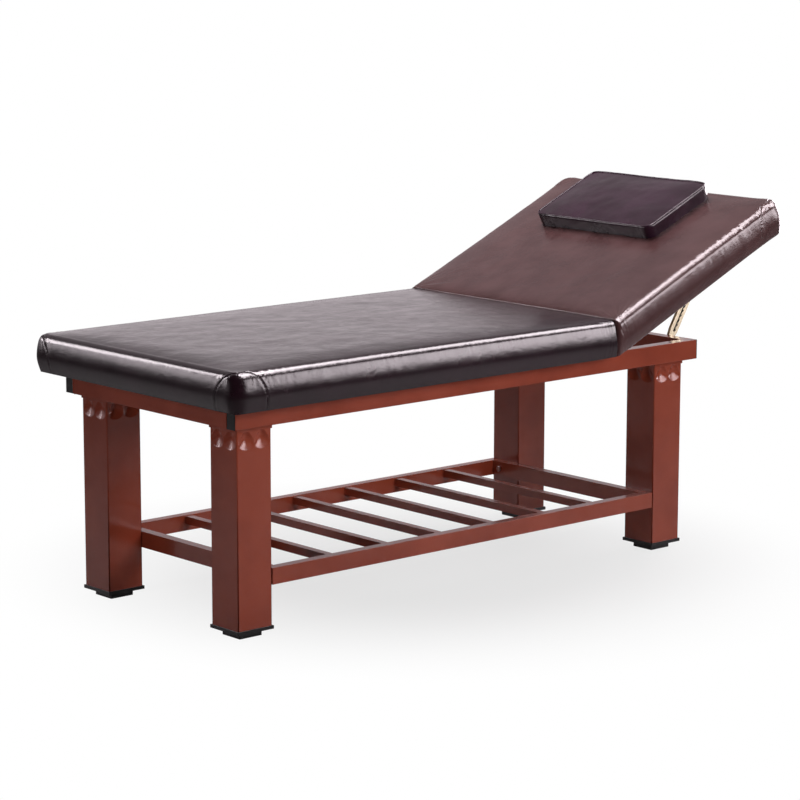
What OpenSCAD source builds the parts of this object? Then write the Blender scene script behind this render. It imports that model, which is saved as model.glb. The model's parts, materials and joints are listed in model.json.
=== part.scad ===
// Padded massage bed on four square legs, with a hinged backrest, a slatted shelf and a loose pillow.
// Millimetres, +X from the foot end to the head end, +Z up, near side at -Y.
// The origin lies on the floor under the middle of the bed, measured with the backrest at its rest angle.

/* [Bed] */
// Length of the bed with the backrest laid flat
bed_l = 1905; // [1700:10:2100]
// Width across the cushions
bed_w = 800; // [720:10:900]
// Length of the backrest, from the seam to the head end
backrest_l = 680; // [640:5:760]
// Angle of the backrest above flat, as the bed stands
rest_angle = 24; // [0:1:30]

/* [Cushions] */
// Height of a cushion at its edge, with its board
cushion_t = 86; // [60:1:110]
// Rise of the top towards the middle
crown = 3; // [1:0.5:10]
// Swell of the flat cushion's top at mid length
seat_swell = 8; // [0:1:12]
// Swell of the backrest's top at mid length
back_swell = 1; // [0:1:8]
// Radius of the padded top edge
edge_r = 22; // [12:1:30]
// Plan radius of the outer corners
corner_r = 30; // [22:1:60]
// Plan radius of the corners beside the seam
seam_corner_r = 10; // [6:1:20]
// How far the sides stand out past the bottom edge
side_bulge = 8; // [3:1:14]
// How far the long sides draw in at mid length
side_draw = 3; // [0:0.5:8]
// Thickness of the leather with its backing
skin_t = 2.5; // [1.5:0.5:4]
// Thickness of the plywood boards
board_t = 15; // [12:1:20]
// Half of the gap between the two cushions at the bottom of the seam
seam_gap = 3; // [2:0.5:5]
// Lean of the flat cushion's seam end, towards the foot
seat_seam_lean = 8; // [8:1:14]
// Lean of the backrest's seam end, towards the head
back_seam_lean = 24; // [24:1:30]
// Height of the backrest's board above the rails when flat
back_lift = 0.5; // [0.3:0.1:1.5]

/* [Pillow] */
// Size of the pillow across the bed
pillow_w = 424; // [300:5:500]
// Size of the pillow along the bed
pillow_l = 242; // [180:2:260]
// Height of the pillow at its edges
pillow_t = 44; // [30:1:70]
// Rise of the pillow's top towards the middle
pillow_crown = 6; // [1:0.5:12]
// Plan radius of the pillow's corners
pillow_corner_r = 12; // [8:1:30]
// Radius of the piped edges
piping_r = 3; // [2:0.5:5]
// Distance from the seam to the middle of the pillow
pillow_s = 529; // [500:1:540]
// Distance of the pillow's middle from the bed's middle line, towards the far side
pillow_y = 23; // [-60:1:60]

/* [Top frame] */
// Width of the frame
frame_w = 662; // [620:2:700]
// Height of the rail tube
rail_h = 50; // [40:1:60]
// Width of the rail tube
rail_w = 30; // [25:1:40]
// Wall of the rail tube
rail_wall = 1.5; // [1:0.1:3]
// How far the cushion stands past the frame at the foot end
foot_overhang = 52; // [30:1:80]
// How far the backrest, laid flat, stands past the frame at the head end
head_overhang = 323; // [253:1:403]
// Thickness of the corner plates that carry the legs
corner_plate_t = 5; // [4:0.5:8]
// Distance of the hinge bearer from the seam
hinge_bearer_back = 48; // [46:1:80]

/* [Legs] */
// Width of the square leg tube
leg_w = 100; // [80:1:120]
// Length of the leg, from its cap to the rail
leg_l = 480; // [400:5:560]
// Wall of the leg tube
leg_wall = 2; // [1.5:0.1:3]
// Outer edge radius of the leg tube
leg_edge_r = 3; // [2.5:0.5:6]
// Distance of a leg from the frame's outer faces
leg_inset = 28; // [20:1:32]
// Height of the collar at the top of a leg
collar_h = 13; // [8:1:20]
// How far the collar stands out
collar_out = 2; // [1:0.5:6]
// Width of a pressed dent under the collar
dent_w = 41; // [30:1:43]
// Depth of a pressed dent
dent_depth = 7; // [4:0.5:9]
// Distance of a dent's middle below the collar
dent_drop = 16; // [0:1:20]
// Spacing of the two dents on a face
dent_pitch = 44; // [43:1:50]
// Thickness of the plate welded into the top of a leg
leg_plate_t = 6; // [5:0.5:10]

/* [Leg glides] */
// Width of the square pad that stands on the floor
pad_w = 65; // [50:1:80]
// Height of the pad
pad_h = 16; // [10:1:25]
// Height of the flange under the leg
flange_h = 8; // [5:0.5:12]
// How far the flange stands out past the leg
flange_out = 3; // [1:0.5:5]
// Height of the plug inside the leg
plug_h = 25; // [15:1:40]

/* [Shelf] */
// Height of the shelf's top above the floor
shelf_z = 160; // [120:1:220]
// Height of the shelf's rail tube
shelf_h = 40; // [30:1:50]
// Width of the shelf's rail tube
shelf_w = 25; // [20:1:30]
// Wall of the shelf's tubes
shelf_wall = 1.2; // [1:0.1:2]
// Width and height of a slat tube
slat_w = 20; // [16:1:25]
// How far the slats lie below the rails' top
slat_drop = 2; // [0:0.5:5]
// Gap between a long rail's end and the leg
shelf_end_gap = 2; // [0:0.5:4]

/* [Stays] */
// Distance of each stay from the bed's middle line
stay_y = 217; // [205:1:250]
// Distance of the lower pin from the frame's head end
stay_out = 15; // [14:0.5:20]
// Distance of the lower pin below the rails' top
stay_drop = 15; // [14:0.5:17]
// Distance of the upper pin from the seam
stay_s = 554; // [548:1:560]
// Width of the toothed channel
channel_w = 28; // [24:1:28]
// Depth of the toothed channel
channel_d = 8; // [7:0.5:12]
// Sheet thickness of the channel
channel_t = 2.5; // [2:0.5:3]
// Length of the channel and of the slide bar from their pins
stay_l = 170; // [150:1:172]
// Pitch of the teeth in the slot
tooth_pitch = 14; // [10:1:18]
// Width of the slot in the channel
slot_w = 5; // [4:0.5:7]
// Depth of a tooth beside the slot
tooth_d = 4; // [2:0.5:6]
// Width of the slide bar
slide_w = 16; // [12:1:20]
// Thickness of the slide bar
slide_t = 4; // [3:0.5:5]
// Radius of the stay's pins
stay_pin_r = 4; // [3:0.5:5]

/* [Hinges] */
// Outer radius of a hinge knuckle
knuckle_r = 5; // [4.5:0.5:6]
// Radius of a hinge pin
hinge_pin_r = 2.5; // [2:0.5:3]
// Width of a hinge along the bed's seam
hinge_w = 70; // [60:1:100]
// Reach of a hinge leaf from the pin
leaf_l = 38; // [34:1:40]
// Thickness of a hinge leaf
leaf_t = 2; // [1.5:0.5:2.5]
// Distance of the outer hinges from the bed's middle line
hinge_y = 230; // [150:5:240]

/* [Hidden] */
$fn = 48;

// Overrun of every cut past the face it opens
cut = 1;
// Clearance of a turning pin in its hole, on the radius
pin_clear = 0.05;
// Clearance round a screw, a plug or a plate that slides into its seat
fit_clear = 0.2;
// Clearance between a soft piece and what it lies on
soft_clear = 0.3;
// Side play between parts that turn against each other
side_play = 0.5;

// Numbers of slats on the shelf and of knuckles in a hinge
slat_count = 6;
knuckle_count = 5;
// Steps of the cushions' outlines and profiles, and the rings of their tops, as shares of the way in
arc_steps = 5;
long_steps = 6;
short_steps = 4;
edge_steps = 4;
top_ring_shares = [0.25, 0.5, 0.78];
pillow_ring_shares = [0.2, 0.45, 0.75];
// How much of the padded edge's inset the seam ends follow
seam_inset_share = 0.25;

// Main planes of the bed
foot_h = pad_h + flange_h;
frame_top = foot_h + leg_l + rail_h;
rail_z = foot_h + leg_l;
seat_l = bed_l - backrest_l;
foot_x = -(seat_l + (backrest_l - side_bulge) * cos(rest_angle)) / 2;
hinge_x = foot_x + seat_l;
hinge_z = frame_top - knuckle_r;
frame_x0 = foot_x + foot_overhang;
frame_x1 = foot_x + bed_l - head_overhang;
rail_y = frame_w / 2 - rail_w;
leg_x0 = frame_x0 + leg_inset + leg_w / 2;
leg_x1 = frame_x1 - leg_inset - leg_w / 2;
leg_y = frame_w / 2 - leg_inset - leg_w / 2;
shelf_x0 = leg_x0 + leg_w / 2;
shelf_x1 = leg_x1 - leg_w / 2;
shelf_y = leg_y + leg_w / 2;

// Radius of the corners inside a leg's tube
leg_inner_r = max(leg_edge_r - leg_wall, fit_clear);

// Radius of the ball that presses a dent of the stated width and depth
dent_r = (dent_w * dent_w / 4 + dent_depth * dent_depth) / (2 * dent_depth);

// Screws and bolts
leg_bolt_r = 4;
leg_bolt_head_r = 6.5;
leg_bolt_head_h = 5.5;
leg_bolt_l = 20;
leg_bolt_pitch = 56;
shelf_bolt_r = 4;
shelf_bolt_head_r = 7;
shelf_bolt_head_h = 4.5;
shelf_bolt_z = shelf_z - shelf_h / 2;
rivet_nut_r = 5.5;
rivet_nut_l = 14;
screw_r = 2.2;
screw_head_r = 4;
screw_head_h = 2;
screw_l = 11;

// Tabs that hold the flat board to the side rails
tab_l = 40;
tab_w = 30;
tab_t = 3;
tab_screw_r = 3;
tab_screw_head_r = 5;
tab_screw_head_h = 3.5;
tab_screw_depth = 10;
tab_place_shares = [0.15, 0.48, 0.8];

// Bearers under the flat board, as shares of the way from the frame's foot end to the seam
bearer_place_shares = [0.33, 0.64];

// Plugs in the ends of the side rails
end_plug_depth = 18;
end_plug_face_t = 2;

// Foam blocks and where they stop short of the leather
foam_side = 14;
foam_top = 6;

// Stay brackets and the slot in the channel
ear_t = 3;
ear_r = 9;
bracket_base_w = 34;
bracket_base_t = 3;
pin_head_r = 6.5;
pin_head_t = 2;
slot_start = 24;
slot_end_margin = 14;
tooth_flank = 8;

// The stay's pins seen from the side: the lower on the frame, the upper below the flat backrest
stay_pin_x = frame_x1 + stay_out;
stay_pin_z = frame_top - stay_drop;
top_pin_z = stay_pin_z;
top_pin_dx = stay_s * cos(rest_angle) - (top_pin_z - hinge_z) * sin(rest_angle);
top_pin_dz = stay_s * sin(rest_angle) + (top_pin_z - hinge_z) * cos(rest_angle);
stay_angle = atan2(hinge_z + top_pin_dz - stay_pin_z, hinge_x + top_pin_dx - stay_pin_x);
channel_y = stay_y + channel_d / 2;
slide_y = stay_y - channel_d / 2 - side_play;
top_ear_y = slide_y - slide_t - side_play;

// The pillow lies on the backrest's crowned top like a plate that touches it at its middle
pillow_x = backrest_l - pillow_s;
pillow_slope = (back_height(pillow_x + pillow_l / 4) - back_height(pillow_x - pillow_l / 4)) / (pillow_l / 2);
pillow_z = back_height(pillow_x) + 2 * soft_clear;

// Turns the backrest from flat to its rest angle about the hinge pin
module at_rest_angle() {
    translate([hinge_x, 0, hinge_z])
        rotate([0, -rest_angle, 0])
            translate([-hinge_x, 0, -hinge_z])
                children();
}

// Places a child at +Y and its mirror image at -Y
module both_sides() {
    children();
    mirror([0, 1, 0]) children();
}

// Places a child at the centre of each leg
module each_leg() {
    for (x = [leg_x0, leg_x1], y = [-leg_y, leg_y])
        translate([x, y, 0]) children();
}

// A square with round corners, centred
module round_square(w, r) {
    square([w, w - 2 * r], center = true);
    square([w - 2 * r, w], center = true);
    for (x = [-1, 1], y = [-1, 1])
        translate([x * (w / 2 - r), y * (w / 2 - r)]) circle(r);
}

// A rectangular tube along X from x0 to x1, with its middle on the axis
module tube_x(x0, x1, w, h, wall) {
    translate([x0, -w / 2, -h / 2])
        difference() {
            cube([x1 - x0, w, h]);
            translate([-cut, wall, wall]) cube([x1 - x0 + 2 * cut, w - 2 * wall, h - 2 * wall]);
        }
}

// A rectangular tube along Y, centred on the bed's middle line
module tube_y(l, w, h, wall) {
    rotate([0, 0, 90]) tube_x(-l / 2, l / 2, w, h, wall);
}

// A side rail, the length of the frame less the faces of its two end plugs
module side_rail(side) {
    color("#7a3a2c")
        translate([0, side * (rail_y + rail_w / 2), rail_z + rail_h / 2])
            tube_x(frame_x0 + end_plug_face_t, frame_x1 - end_plug_face_t, rail_w, rail_h, rail_wall);
}

// A cross rail or bearer with its middle at x, between the side rails
module cross_rail(x) {
    color("#6b2f24")
        translate([x, 0, rail_z + rail_h / 2])
            tube_y(2 * rail_y, rail_w, rail_h, rail_wall);
}

// One end plug: a face plate with a body that slides into the tube
module end_plug() {
    translate([0, -rail_w / 2, -rail_h / 2]) cube([end_plug_face_t, rail_w, rail_h]);
    inner_w = rail_w - 2 * rail_wall - 2 * fit_clear;
    inner_h = rail_h - 2 * rail_wall - 2 * fit_clear;
    translate([0, -inner_w / 2, -inner_h / 2]) cube([end_plug_depth, inner_w, inner_h]);
}

module rail_end_plugs() {
    color("#141414")
        both_sides()
            translate([0, rail_y + rail_w / 2, rail_z + rail_h / 2]) {
                translate([frame_x0, 0, 0]) end_plug();
                translate([frame_x1, 0, 0]) mirror([1, 0, 0]) end_plug();
            }
}

// Plates welded inside the frame's corners, each with four bolt holes over its leg
module corner_plates() {
    reach = leg_inset + leg_w + collar_out - rail_w;
    color("#5c281e")
        for (sx = [-1, 1], sy = [-1, 1])
            difference() {
                translate([sx < 0 ? frame_x0 + rail_w : frame_x1 - rail_w - reach,
                        sy < 0 ? -rail_y : rail_y - reach, rail_z])
                    cube([reach, reach, corner_plate_t]);
                translate([sx < 0 ? leg_x0 : leg_x1, sy * leg_y, rail_z - cut])
                    bolt_places() cylinder(h = corner_plate_t + 2 * cut, r = leg_bolt_r + fit_clear);
            }
}

// Four places on a square pitch
module bolt_places() {
    for (x = [-1, 1], y = [-1, 1])
        translate([x * leg_bolt_pitch / 2, y * leg_bolt_pitch / 2, 0]) children();
}

// Places of the tabs, on the far side
module tab_places() {
    for (share = tab_place_shares)
        translate([frame_x0 + share * (hinge_x - frame_x0), rail_y, frame_top]) children();
}

module board_tabs() {
    color("#5c281e")
        both_sides() tab_places()
            difference() {
                translate([-tab_l / 2, -tab_w, -tab_t]) cube([tab_l, tab_w, tab_t]);
                translate([0, -tab_w / 2, -tab_t - cut])
                    cylinder(h = tab_t + 2 * cut, r = tab_screw_r + fit_clear);
            }
}

module board_screws() {
    color("#8d8d90")
        both_sides() tab_places()
            translate([0, -tab_w / 2, -tab_t]) {
                cylinder(h = tab_t + tab_screw_depth, r = tab_screw_r);
                translate([0, 0, -tab_screw_head_h]) cylinder(h = tab_screw_head_h, r = tab_screw_head_r);
            }
}

// Places of the eight dents of a leg: two on each face, at the collar's lower edge
module dent_places() {
    for (a = [0, 90, 180, 270], s = [-1, 1])
        rotate([0, 0, a])
            translate([leg_w / 2 + dent_r - dent_depth, s * dent_pitch / 2, leg_l - collar_h - dent_drop])
                children();
}

// The block under the collar that all of a leg's dents lie in, standing out by more on every side
module dent_block(more) {
    w = leg_w + 2 * more;
    h = dent_drop + dent_w / 2 + leg_wall;
    translate([-w / 2, -w / 2, leg_l - collar_h - h]) cube([w, w, h]);
}

// A square tube leg: the wall follows each pressed dent inwards
module leg(x, y) {
    color("#7a3a2c")
        translate([x, y, foot_h])
            difference() {
                union() {
                    linear_extrude(leg_l)
                        difference() {
                            round_square(leg_w, leg_edge_r);
                            round_square(leg_w - 2 * leg_wall, leg_inner_r);
                        }
                    translate([0, 0, leg_l - collar_h])
                        linear_extrude(collar_h)
                            difference() {
                                round_square(leg_w + 2 * collar_out, leg_edge_r);
                                round_square(leg_w - leg_wall, leg_inner_r);
                            }
                    intersection() {
                        dent_block(0);
                        dent_places() sphere(dent_r + leg_wall);
                    }
                }
                intersection() {
                    dent_block(cut);
                    dent_places() sphere(dent_r);
                }
            }
}

// Plates welded into the tops of the legs, with the threads for the leg bolts
module leg_top_plates() {
    side = leg_w - 2 * leg_wall - 2 * fit_clear;
    color("#5c281e")
        each_leg()
            translate([0, 0, rail_z - leg_plate_t])
                difference() {
                    linear_extrude(leg_plate_t) round_square(side, leg_inner_r);
                    translate([0, 0, -cut])
                        bolt_places() cylinder(h = leg_plate_t + 2 * cut, r = leg_bolt_r + pin_clear);
                }
}

module leg_bolts() {
    color("#8d8d90")
        each_leg()
            translate([0, 0, rail_z + corner_plate_t])
                bolt_places() {
                    translate([0, 0, -leg_bolt_l]) cylinder(h = leg_bolt_l, r = leg_bolt_r);
                    cylinder(h = leg_bolt_head_h, r = leg_bolt_head_r, $fn = 6);
                }
}

// A black foot: pad on the floor, flange under the tube and a plug inside it
module glide(x, y) {
    flange_w = leg_w + 2 * flange_out;
    plug_w = leg_w - 2 * leg_wall - 2 * fit_clear;
    color("#161616")
        translate([x, y, 0]) {
            translate([-pad_w / 2, -pad_w / 2, 0]) cube([pad_w, pad_w, pad_h]);
            translate([-flange_w / 2, -flange_w / 2, pad_h]) cube([flange_w, flange_w, flange_h]);
            translate([0, 0, foot_h]) linear_extrude(plug_h) round_square(plug_w, leg_inner_r);
        }
}

// A long rail of the shelf, between the legs
module shelf_rail(side) {
    color("#7a3a2c")
        translate([0, side * (shelf_y - shelf_w / 2), shelf_z - shelf_h / 2])
            tube_x(shelf_x0 + shelf_end_gap, shelf_x1 - shelf_end_gap, shelf_w, shelf_h, shelf_wall);
}

// A cross rail of the shelf, against two legs, with a bolt hole at each leg
module shelf_cross(x, way) {
    color("#6b2f24")
        difference() {
            translate([x + way * shelf_w / 2, 0, shelf_z - shelf_h / 2])
                tube_y(2 * (shelf_y - shelf_w), shelf_w, shelf_h, shelf_wall);
            both_sides()
                translate([x - cut, leg_y, shelf_bolt_z])
                    rotate([0, 90, 0])
                        translate([0, 0, way < 0 ? -shelf_w : 0])
                            cylinder(h = shelf_w + 2 * cut, r = shelf_bolt_r + fit_clear);
        }
}

// One slat; the slats share the shelf's inner length equally
module shelf_slat(number) {
    inner = shelf_x1 - shelf_x0 - 2 * shelf_w;
    x = shelf_x0 + shelf_w + inner * number / (slat_count + 1);
    color("#6b2f24")
        translate([x, 0, shelf_z - slat_drop - slat_w / 2])
            tube_y(2 * (shelf_y - shelf_w), slat_w, slat_w, shelf_wall);
}

// The places where the shelf is bolted to the legs, each looking into its leg
module shelf_bolt_places() {
    both_sides() {
        translate([shelf_x0, leg_y, shelf_bolt_z]) rotate([0, -90, 0]) children();
        translate([shelf_x1, leg_y, shelf_bolt_z]) rotate([0, 90, 0]) children();
    }
}

module shelf_bolts() {
    color("#b9b9bd")
        shelf_bolt_places() {
            translate([0, 0, -shelf_w]) cylinder(h = shelf_w + leg_wall + rivet_nut_l, r = shelf_bolt_r);
            translate([0, 0, -shelf_w - shelf_bolt_head_h])
                cylinder(h = shelf_bolt_head_h, r = shelf_bolt_head_r);
        }
}

// Threaded rivet nuts on the inside of the leg walls
module shelf_rivet_nuts() {
    color("#8d8d90")
        shelf_bolt_places()
            translate([0, 0, leg_wall])
                difference() {
                    cylinder(h = rivet_nut_l, r = rivet_nut_r + leg_wall);
                    translate([0, 0, -cut]) cylinder(h = rivet_nut_l + 2 * cut, r = shelf_bolt_r + pin_clear);
                }
}

// A leg with the hole that its shelf bolt passes through
module leg_with_hole(x, y) {
    way = x < 0 ? 1 : -1;
    difference() {
        leg(x, y);
        translate([x + way * (leg_w / 2 + cut), y, shelf_bolt_z])
            rotate([0, -way * 90, 0])
                cylinder(h = leg_wall + 2 * cut, r = shelf_bolt_r + fit_clear);
    }
}

// Points of a quarter circle about (cx, cy), from angle a
function arc(cx, cy, r, a) = [for (i = [0:arc_steps])
    [cx + r * cos(a + 90 * i / arc_steps), cy + r * sin(a + 90 * i / arc_steps)]];

// Points strictly between p and q
function between(p, q, steps) = [for (i = [1:steps - 1]) p + (q - p) * i / steps];

// Closed outline from x0 to x1 and to yh on both sides, with radius r0 at x0 and r1 at x1
function outline(x0, x1, yh, r0, r1) =
    let (a = arc(x1 - r1, yh - r1, r1, 0), b = arc(x0 + r0, yh - r0, r0, 90),
        c = arc(x0 + r0, -yh + r0, r0, 180), d = arc(x1 - r1, -yh + r1, r1, 270))
    concat(a, between([x1 - r1, yh], [x0 + r0, yh], long_steps),
        b, between([x0, yh - r0], [x0, -yh + r0], short_steps),
        c, between([x0 + r0, -yh], [x1 - r1, -yh], long_steps),
        d, between([x1, -yh + r1], [x1, yh - r1], short_steps));

// How near x is to the middle of a cushion: 1 there and 0 at its ends
function middle_share(x, len) = max(0, 1 - pow(2 * x / len - 1, 2));

// Factor that a cushion's heights grow by at x
function swelling(x, len, swell) = 1 + swell * middle_share(x, len) / cushion_t;

// Height of the backrest's top over its own bottom, at a distance x from its head end
function back_height(x) =
    (cushion_t + crown * (1 - pow(1 - (x - edge_r) / (bed_w / 2 - edge_r), 2)))
    * swelling(x, backrest_l, back_swell);

// Side and top profile of a cushion, as pairs of inset and height
function cushion_profile(t, r, bulge, rise, half) = concat(
    [[bulge, 0], [bulge / 2, bulge / 2], [bulge / 8, 1.6 * bulge], [0, t / 2]],
    [for (i = [0:edge_steps]) let (a = 90 * i / edge_steps)
        [bulge / 6 + r * (1 - cos(a)), t - r + r * sin(a)]],
    [for (s = top_ring_shares) let (d = r + s * (half - r))
        [d, t + rise * (1 - (1 - s) * (1 - s))]]);

// One ring of a cushion at a profile pair, drawn in at the long sides; the seam end leans by its own angle
function cushion_ring(pair, len, half, lean, swell, skin) =
    let (d = pair[0] + skin, z = pair[1],
        x1 = len - seam_gap - z * tan(lean) - pair[0] * seam_inset_share - skin,
        r0 = max(corner_r - d, skin_t), r1 = max(seam_corner_r - d / 2, skin_t))
    [for (p = outline(d, x1, half - d, r0, r1))
        [p.x, p.y * (1 - side_draw * middle_share(p.x, len) / half), z * swelling(p.x, len, swell)]];

// Triangles between the rings at first and first + n, looking out when flip is false
function band(first, n, flip) = [for (i = [0:n - 1], half = [0, 1])
    let (a = first + i, b = first + (i + 1) % n, c = a + n, d = b + n,
        f = half == 0 ? [a, c, d] : [a, d, b])
    flip ? [f[2], f[1], f[0]] : f];

// Triangles from a ring to one point
function fan(first, n, tip, flip) = [for (i = [0:n - 1])
    let (a = first + i, b = first + (i + 1) % n) flip ? [a, b, tip] : [b, a, tip]];

function flat_list(lists) = [for (l = lists, e = l) e];
function mid_point(ring) = [for (k = [0:2]) (min([for (p = ring) p[k]]) + max([for (p = ring) p[k]])) / 2];

// A leather skin that is open below: outer rings up to a closed top, and inner rings below it
module cushion_skin(len, half, lean, swell) {
    profile = cushion_profile(cushion_t, edge_r, side_bulge, crown, half);
    outer = [for (pair = profile) cushion_ring(pair, len, half, lean, swell, 0)];
    inner = [for (pair = profile)
        cushion_ring([pair[0], max(pair[1] - skin_t, 0)], len, half, lean, swell, skin_t)];
    n = len(outer[0]);
    m = len(outer);
    points = concat(flat_list(outer), flat_list(inner), [mid_point(outer[m - 1])], [mid_point(inner[m - 1])]);
    faces = concat(
        flat_list([for (k = [0:m - 2]) band(k * n, n, false)]),
        flat_list([for (k = [0:m - 2]) band((m + k) * n, n, true)]),
        fan((m - 1) * n, n, 2 * m * n, false),
        fan((2 * m - 1) * n, n, 2 * m * n + 1, true),
        [for (i = [0:n - 1]) let (j = (i + 1) % n) [i, j, m * n + j]],
        [for (i = [0:n - 1]) let (j = (i + 1) % n) [i, m * n + j, m * n + i]]);
    polyhedron(points, faces);
}

// Board and foam share the skin's lower outline, one skin and a clearance inside it
module cushion_board(len, half) {
    inset = side_bulge + skin_t + fit_clear;
    r = corner_r - inset;
    end = len - seam_gap - side_bulge / 2 - skin_t - board_t / 2;
    color("#b08a5a")
        difference() {
            union() {
                translate([inset + r, -half + inset + side_draw, 0])
                    cube([end - inset - r, 2 * (half - inset - side_draw), board_t]);
                translate([inset, -half + inset + side_draw + r, 0])
                    cube([end - inset, 2 * (half - inset - side_draw - r), board_t]);
                for (s = [-1, 1])
                    translate([inset + r, s * (half - inset - side_draw - r), 0])
                        cylinder(h = board_t, r = r);
            }
            children();
        }
}

module cushion_foam(len, half, lean) {
    inset = side_bulge + skin_t + foam_side;
    height = cushion_t - board_t - foam_top;
    end = len - seam_gap - skin_t - foam_side - cushion_t * tan(lean);
    color("#e2d9b8")
        translate([inset, -half + inset, board_t])
            cube([end - inset, 2 * (half - inset), height]);
}

// Puts a cushion piece on the frame: the flat one as drawn, the backrest turned end for end
module seat_place() {
    translate([foot_x, 0, frame_top]) children();
}

module back_place() {
    translate([hinge_x + backrest_l, 0, frame_top + back_lift]) mirror([1, 0, 0]) children();
}

module seat_board() {
    seat_place()
        cushion_board(seat_l, bed_w / 2)
            translate([-foot_x, 0, -frame_top]) {
                both_sides() tab_places()
                    translate([0, -tab_w / 2, -cut])
                        cylinder(h = tab_screw_depth + cut + fit_clear, r = tab_screw_r + pin_clear);
                hinge_screw_places(-1) translate([0, 0, -leaf_t])
                    cylinder(h = screw_l + fit_clear, r = screw_r + pin_clear);
            }
}

module seat_foam() {
    seat_place() cushion_foam(seat_l, bed_w / 2, seat_seam_lean);
}

module seat_cover() {
    color("#2f262a")
        seat_place()
            translate([0, 0, soft_clear]) cushion_skin(seat_l, bed_w / 2, seat_seam_lean, seat_swell);
}

module back_board() {
    at_rest_angle()
        back_place()
            cushion_board(backrest_l, bed_w / 2)
                mirror([1, 0, 0]) translate([-hinge_x - backrest_l, 0, -frame_top - back_lift])
                    translate([0, 0, back_lift]) {
                        hinge_screw_places(1) translate([0, 0, -leaf_t])
                            cylinder(h = screw_l + fit_clear, r = screw_r + pin_clear);
                        both_sides() bracket_screw_places() translate([0, 0, -bracket_base_t])
                            cylinder(h = screw_l + fit_clear, r = screw_r + pin_clear);
                    }
}

module back_foam() {
    at_rest_angle() back_place() cushion_foam(backrest_l, bed_w / 2, back_seam_lean);
}

module back_cover() {
    color("#4a3330")
        at_rest_angle()
            back_place()
                translate([0, 0, soft_clear])
                    cushion_skin(backrest_l, bed_w / 2, back_seam_lean, back_swell);
}

// The middles of the three hinges along the seam
module hinge_places() {
    for (y = [-hinge_y, 0, hinge_y])
        translate([hinge_x, y, hinge_z]) children();
}

// Two screw places on each leaf, at the level of the boards; way is -1 for the flat board
module hinge_screw_places(way) {
    for (y = [-hinge_y, 0, hinge_y], s = [-1, 1])
        translate([hinge_x + way * leaf_l * 3 / 4, y + s * hinge_w / 4, frame_top]) children();
}

// A hinge leaf with its share of the knuckles: those with odd or with even numbers
module leaf(first) {
    step = hinge_w / knuckle_count;
    start = knuckle_r + side_play;
    difference() {
        union() {
            translate([start, -hinge_w / 2, knuckle_r - leaf_t]) cube([leaf_l - start, hinge_w, leaf_t]);
            for (k = [first:2:knuckle_count - 1])
                translate([0, -hinge_w / 2 + k * step + side_play / 2, 0]) {
                    translate([0, 0, knuckle_r - leaf_t]) cube([2 * start, step - side_play, leaf_t]);
                    rotate([-90, 0, 0]) cylinder(h = step - side_play, r = knuckle_r);
                }
        }
        translate([0, -hinge_w / 2 - cut, 0])
            rotate([-90, 0, 0]) cylinder(h = hinge_w + 2 * cut, r = hinge_pin_r + pin_clear);
    }
}

module hinge_leaves_seat() {
    color("#9a9a9e")
        difference() {
            hinge_places() mirror([1, 0, 0]) leaf(0);
            hinge_screw_places(-1) translate([0, 0, -leaf_t - cut])
                cylinder(h = leaf_t + 2 * cut, r = screw_r + fit_clear);
        }
}

module hinge_leaves_back() {
    color("#9a9a9e")
        at_rest_angle()
            difference() {
                hinge_places() leaf(1);
                hinge_screw_places(1) translate([0, 0, -leaf_t - cut])
                    cylinder(h = leaf_t + 2 * cut, r = screw_r + fit_clear);
            }
}

module hinge_pins() {
    color("#b9b9bd")
        hinge_places()
            translate([0, -hinge_w / 2, 0]) rotate([-90, 0, 0]) cylinder(h = hinge_w, r = hinge_pin_r);
}

// A wood screw with its head below the level where it is placed
module wood_screw(under) {
    translate([0, 0, -under]) {
        cylinder(h = screw_l, r = screw_r);
        translate([0, 0, -screw_head_h]) cylinder(h = screw_head_h, r = screw_head_r);
    }
}

module hinge_screws_seat() {
    color("#8d8d90") hinge_screw_places(-1) wood_screw(leaf_t);
}

module hinge_screws_back() {
    color("#8d8d90") at_rest_angle() hinge_screw_places(1) wood_screw(leaf_t);
}

// Lower bracket of a stay, on the far side: a base on the head rail and one ear outside the channel
module stay_bracket() {
    ear_y = channel_y + side_play;
    base_h = 2 * ear_r + 2 * stay_pin_r;
    translate([frame_x1, ear_y - bracket_base_w + ear_t, stay_pin_z - base_h / 2])
        cube([bracket_base_t, bracket_base_w, base_h]);
    translate([0, ear_y + ear_t, 0])
        rotate([90, 0, 0])
            linear_extrude(ear_t)
                difference() {
                    union() {
                        translate([frame_x1, stay_pin_z - ear_r]) square([stay_out, 2 * ear_r]);
                        translate([stay_pin_x, stay_pin_z]) circle(ear_r);
                    }
                    translate([stay_pin_x, stay_pin_z]) circle(stay_pin_r + pin_clear);
                }
}

module stay_bracket_near() {
    color("#9a9a9e") mirror([0, 1, 0]) stay_bracket();
}

module stay_bracket_far() {
    color("#9a9a9e") stay_bracket();
}

// Lower pins, with a head outside the ear and a washer inside the channel
module stay_pins() {
    length = ear_t + side_play + channel_t + side_play;
    color("#b9b9bd")
        both_sides()
            translate([stay_pin_x, channel_y + side_play + ear_t, stay_pin_z])
                rotate([90, 0, 0]) {
                    cylinder(h = length, r = stay_pin_r);
                    translate([0, 0, length]) cylinder(h = pin_head_t, r = pin_head_r);
                    translate([0, 0, -pin_head_t]) cylinder(h = pin_head_t, r = pin_head_r);
                }
}

// Puts a stay piece at the lower pin and leans it as the backrest's rest angle asks
module at_lower_pin() {
    translate([stay_pin_x, 0, stay_pin_z]) rotate([0, -stay_angle, 0]) children();
}

module at_upper_pin() {
    translate([hinge_x + top_pin_dx, 0, hinge_z + top_pin_dz]) rotate([0, -stay_angle, 0]) children();
}

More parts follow.
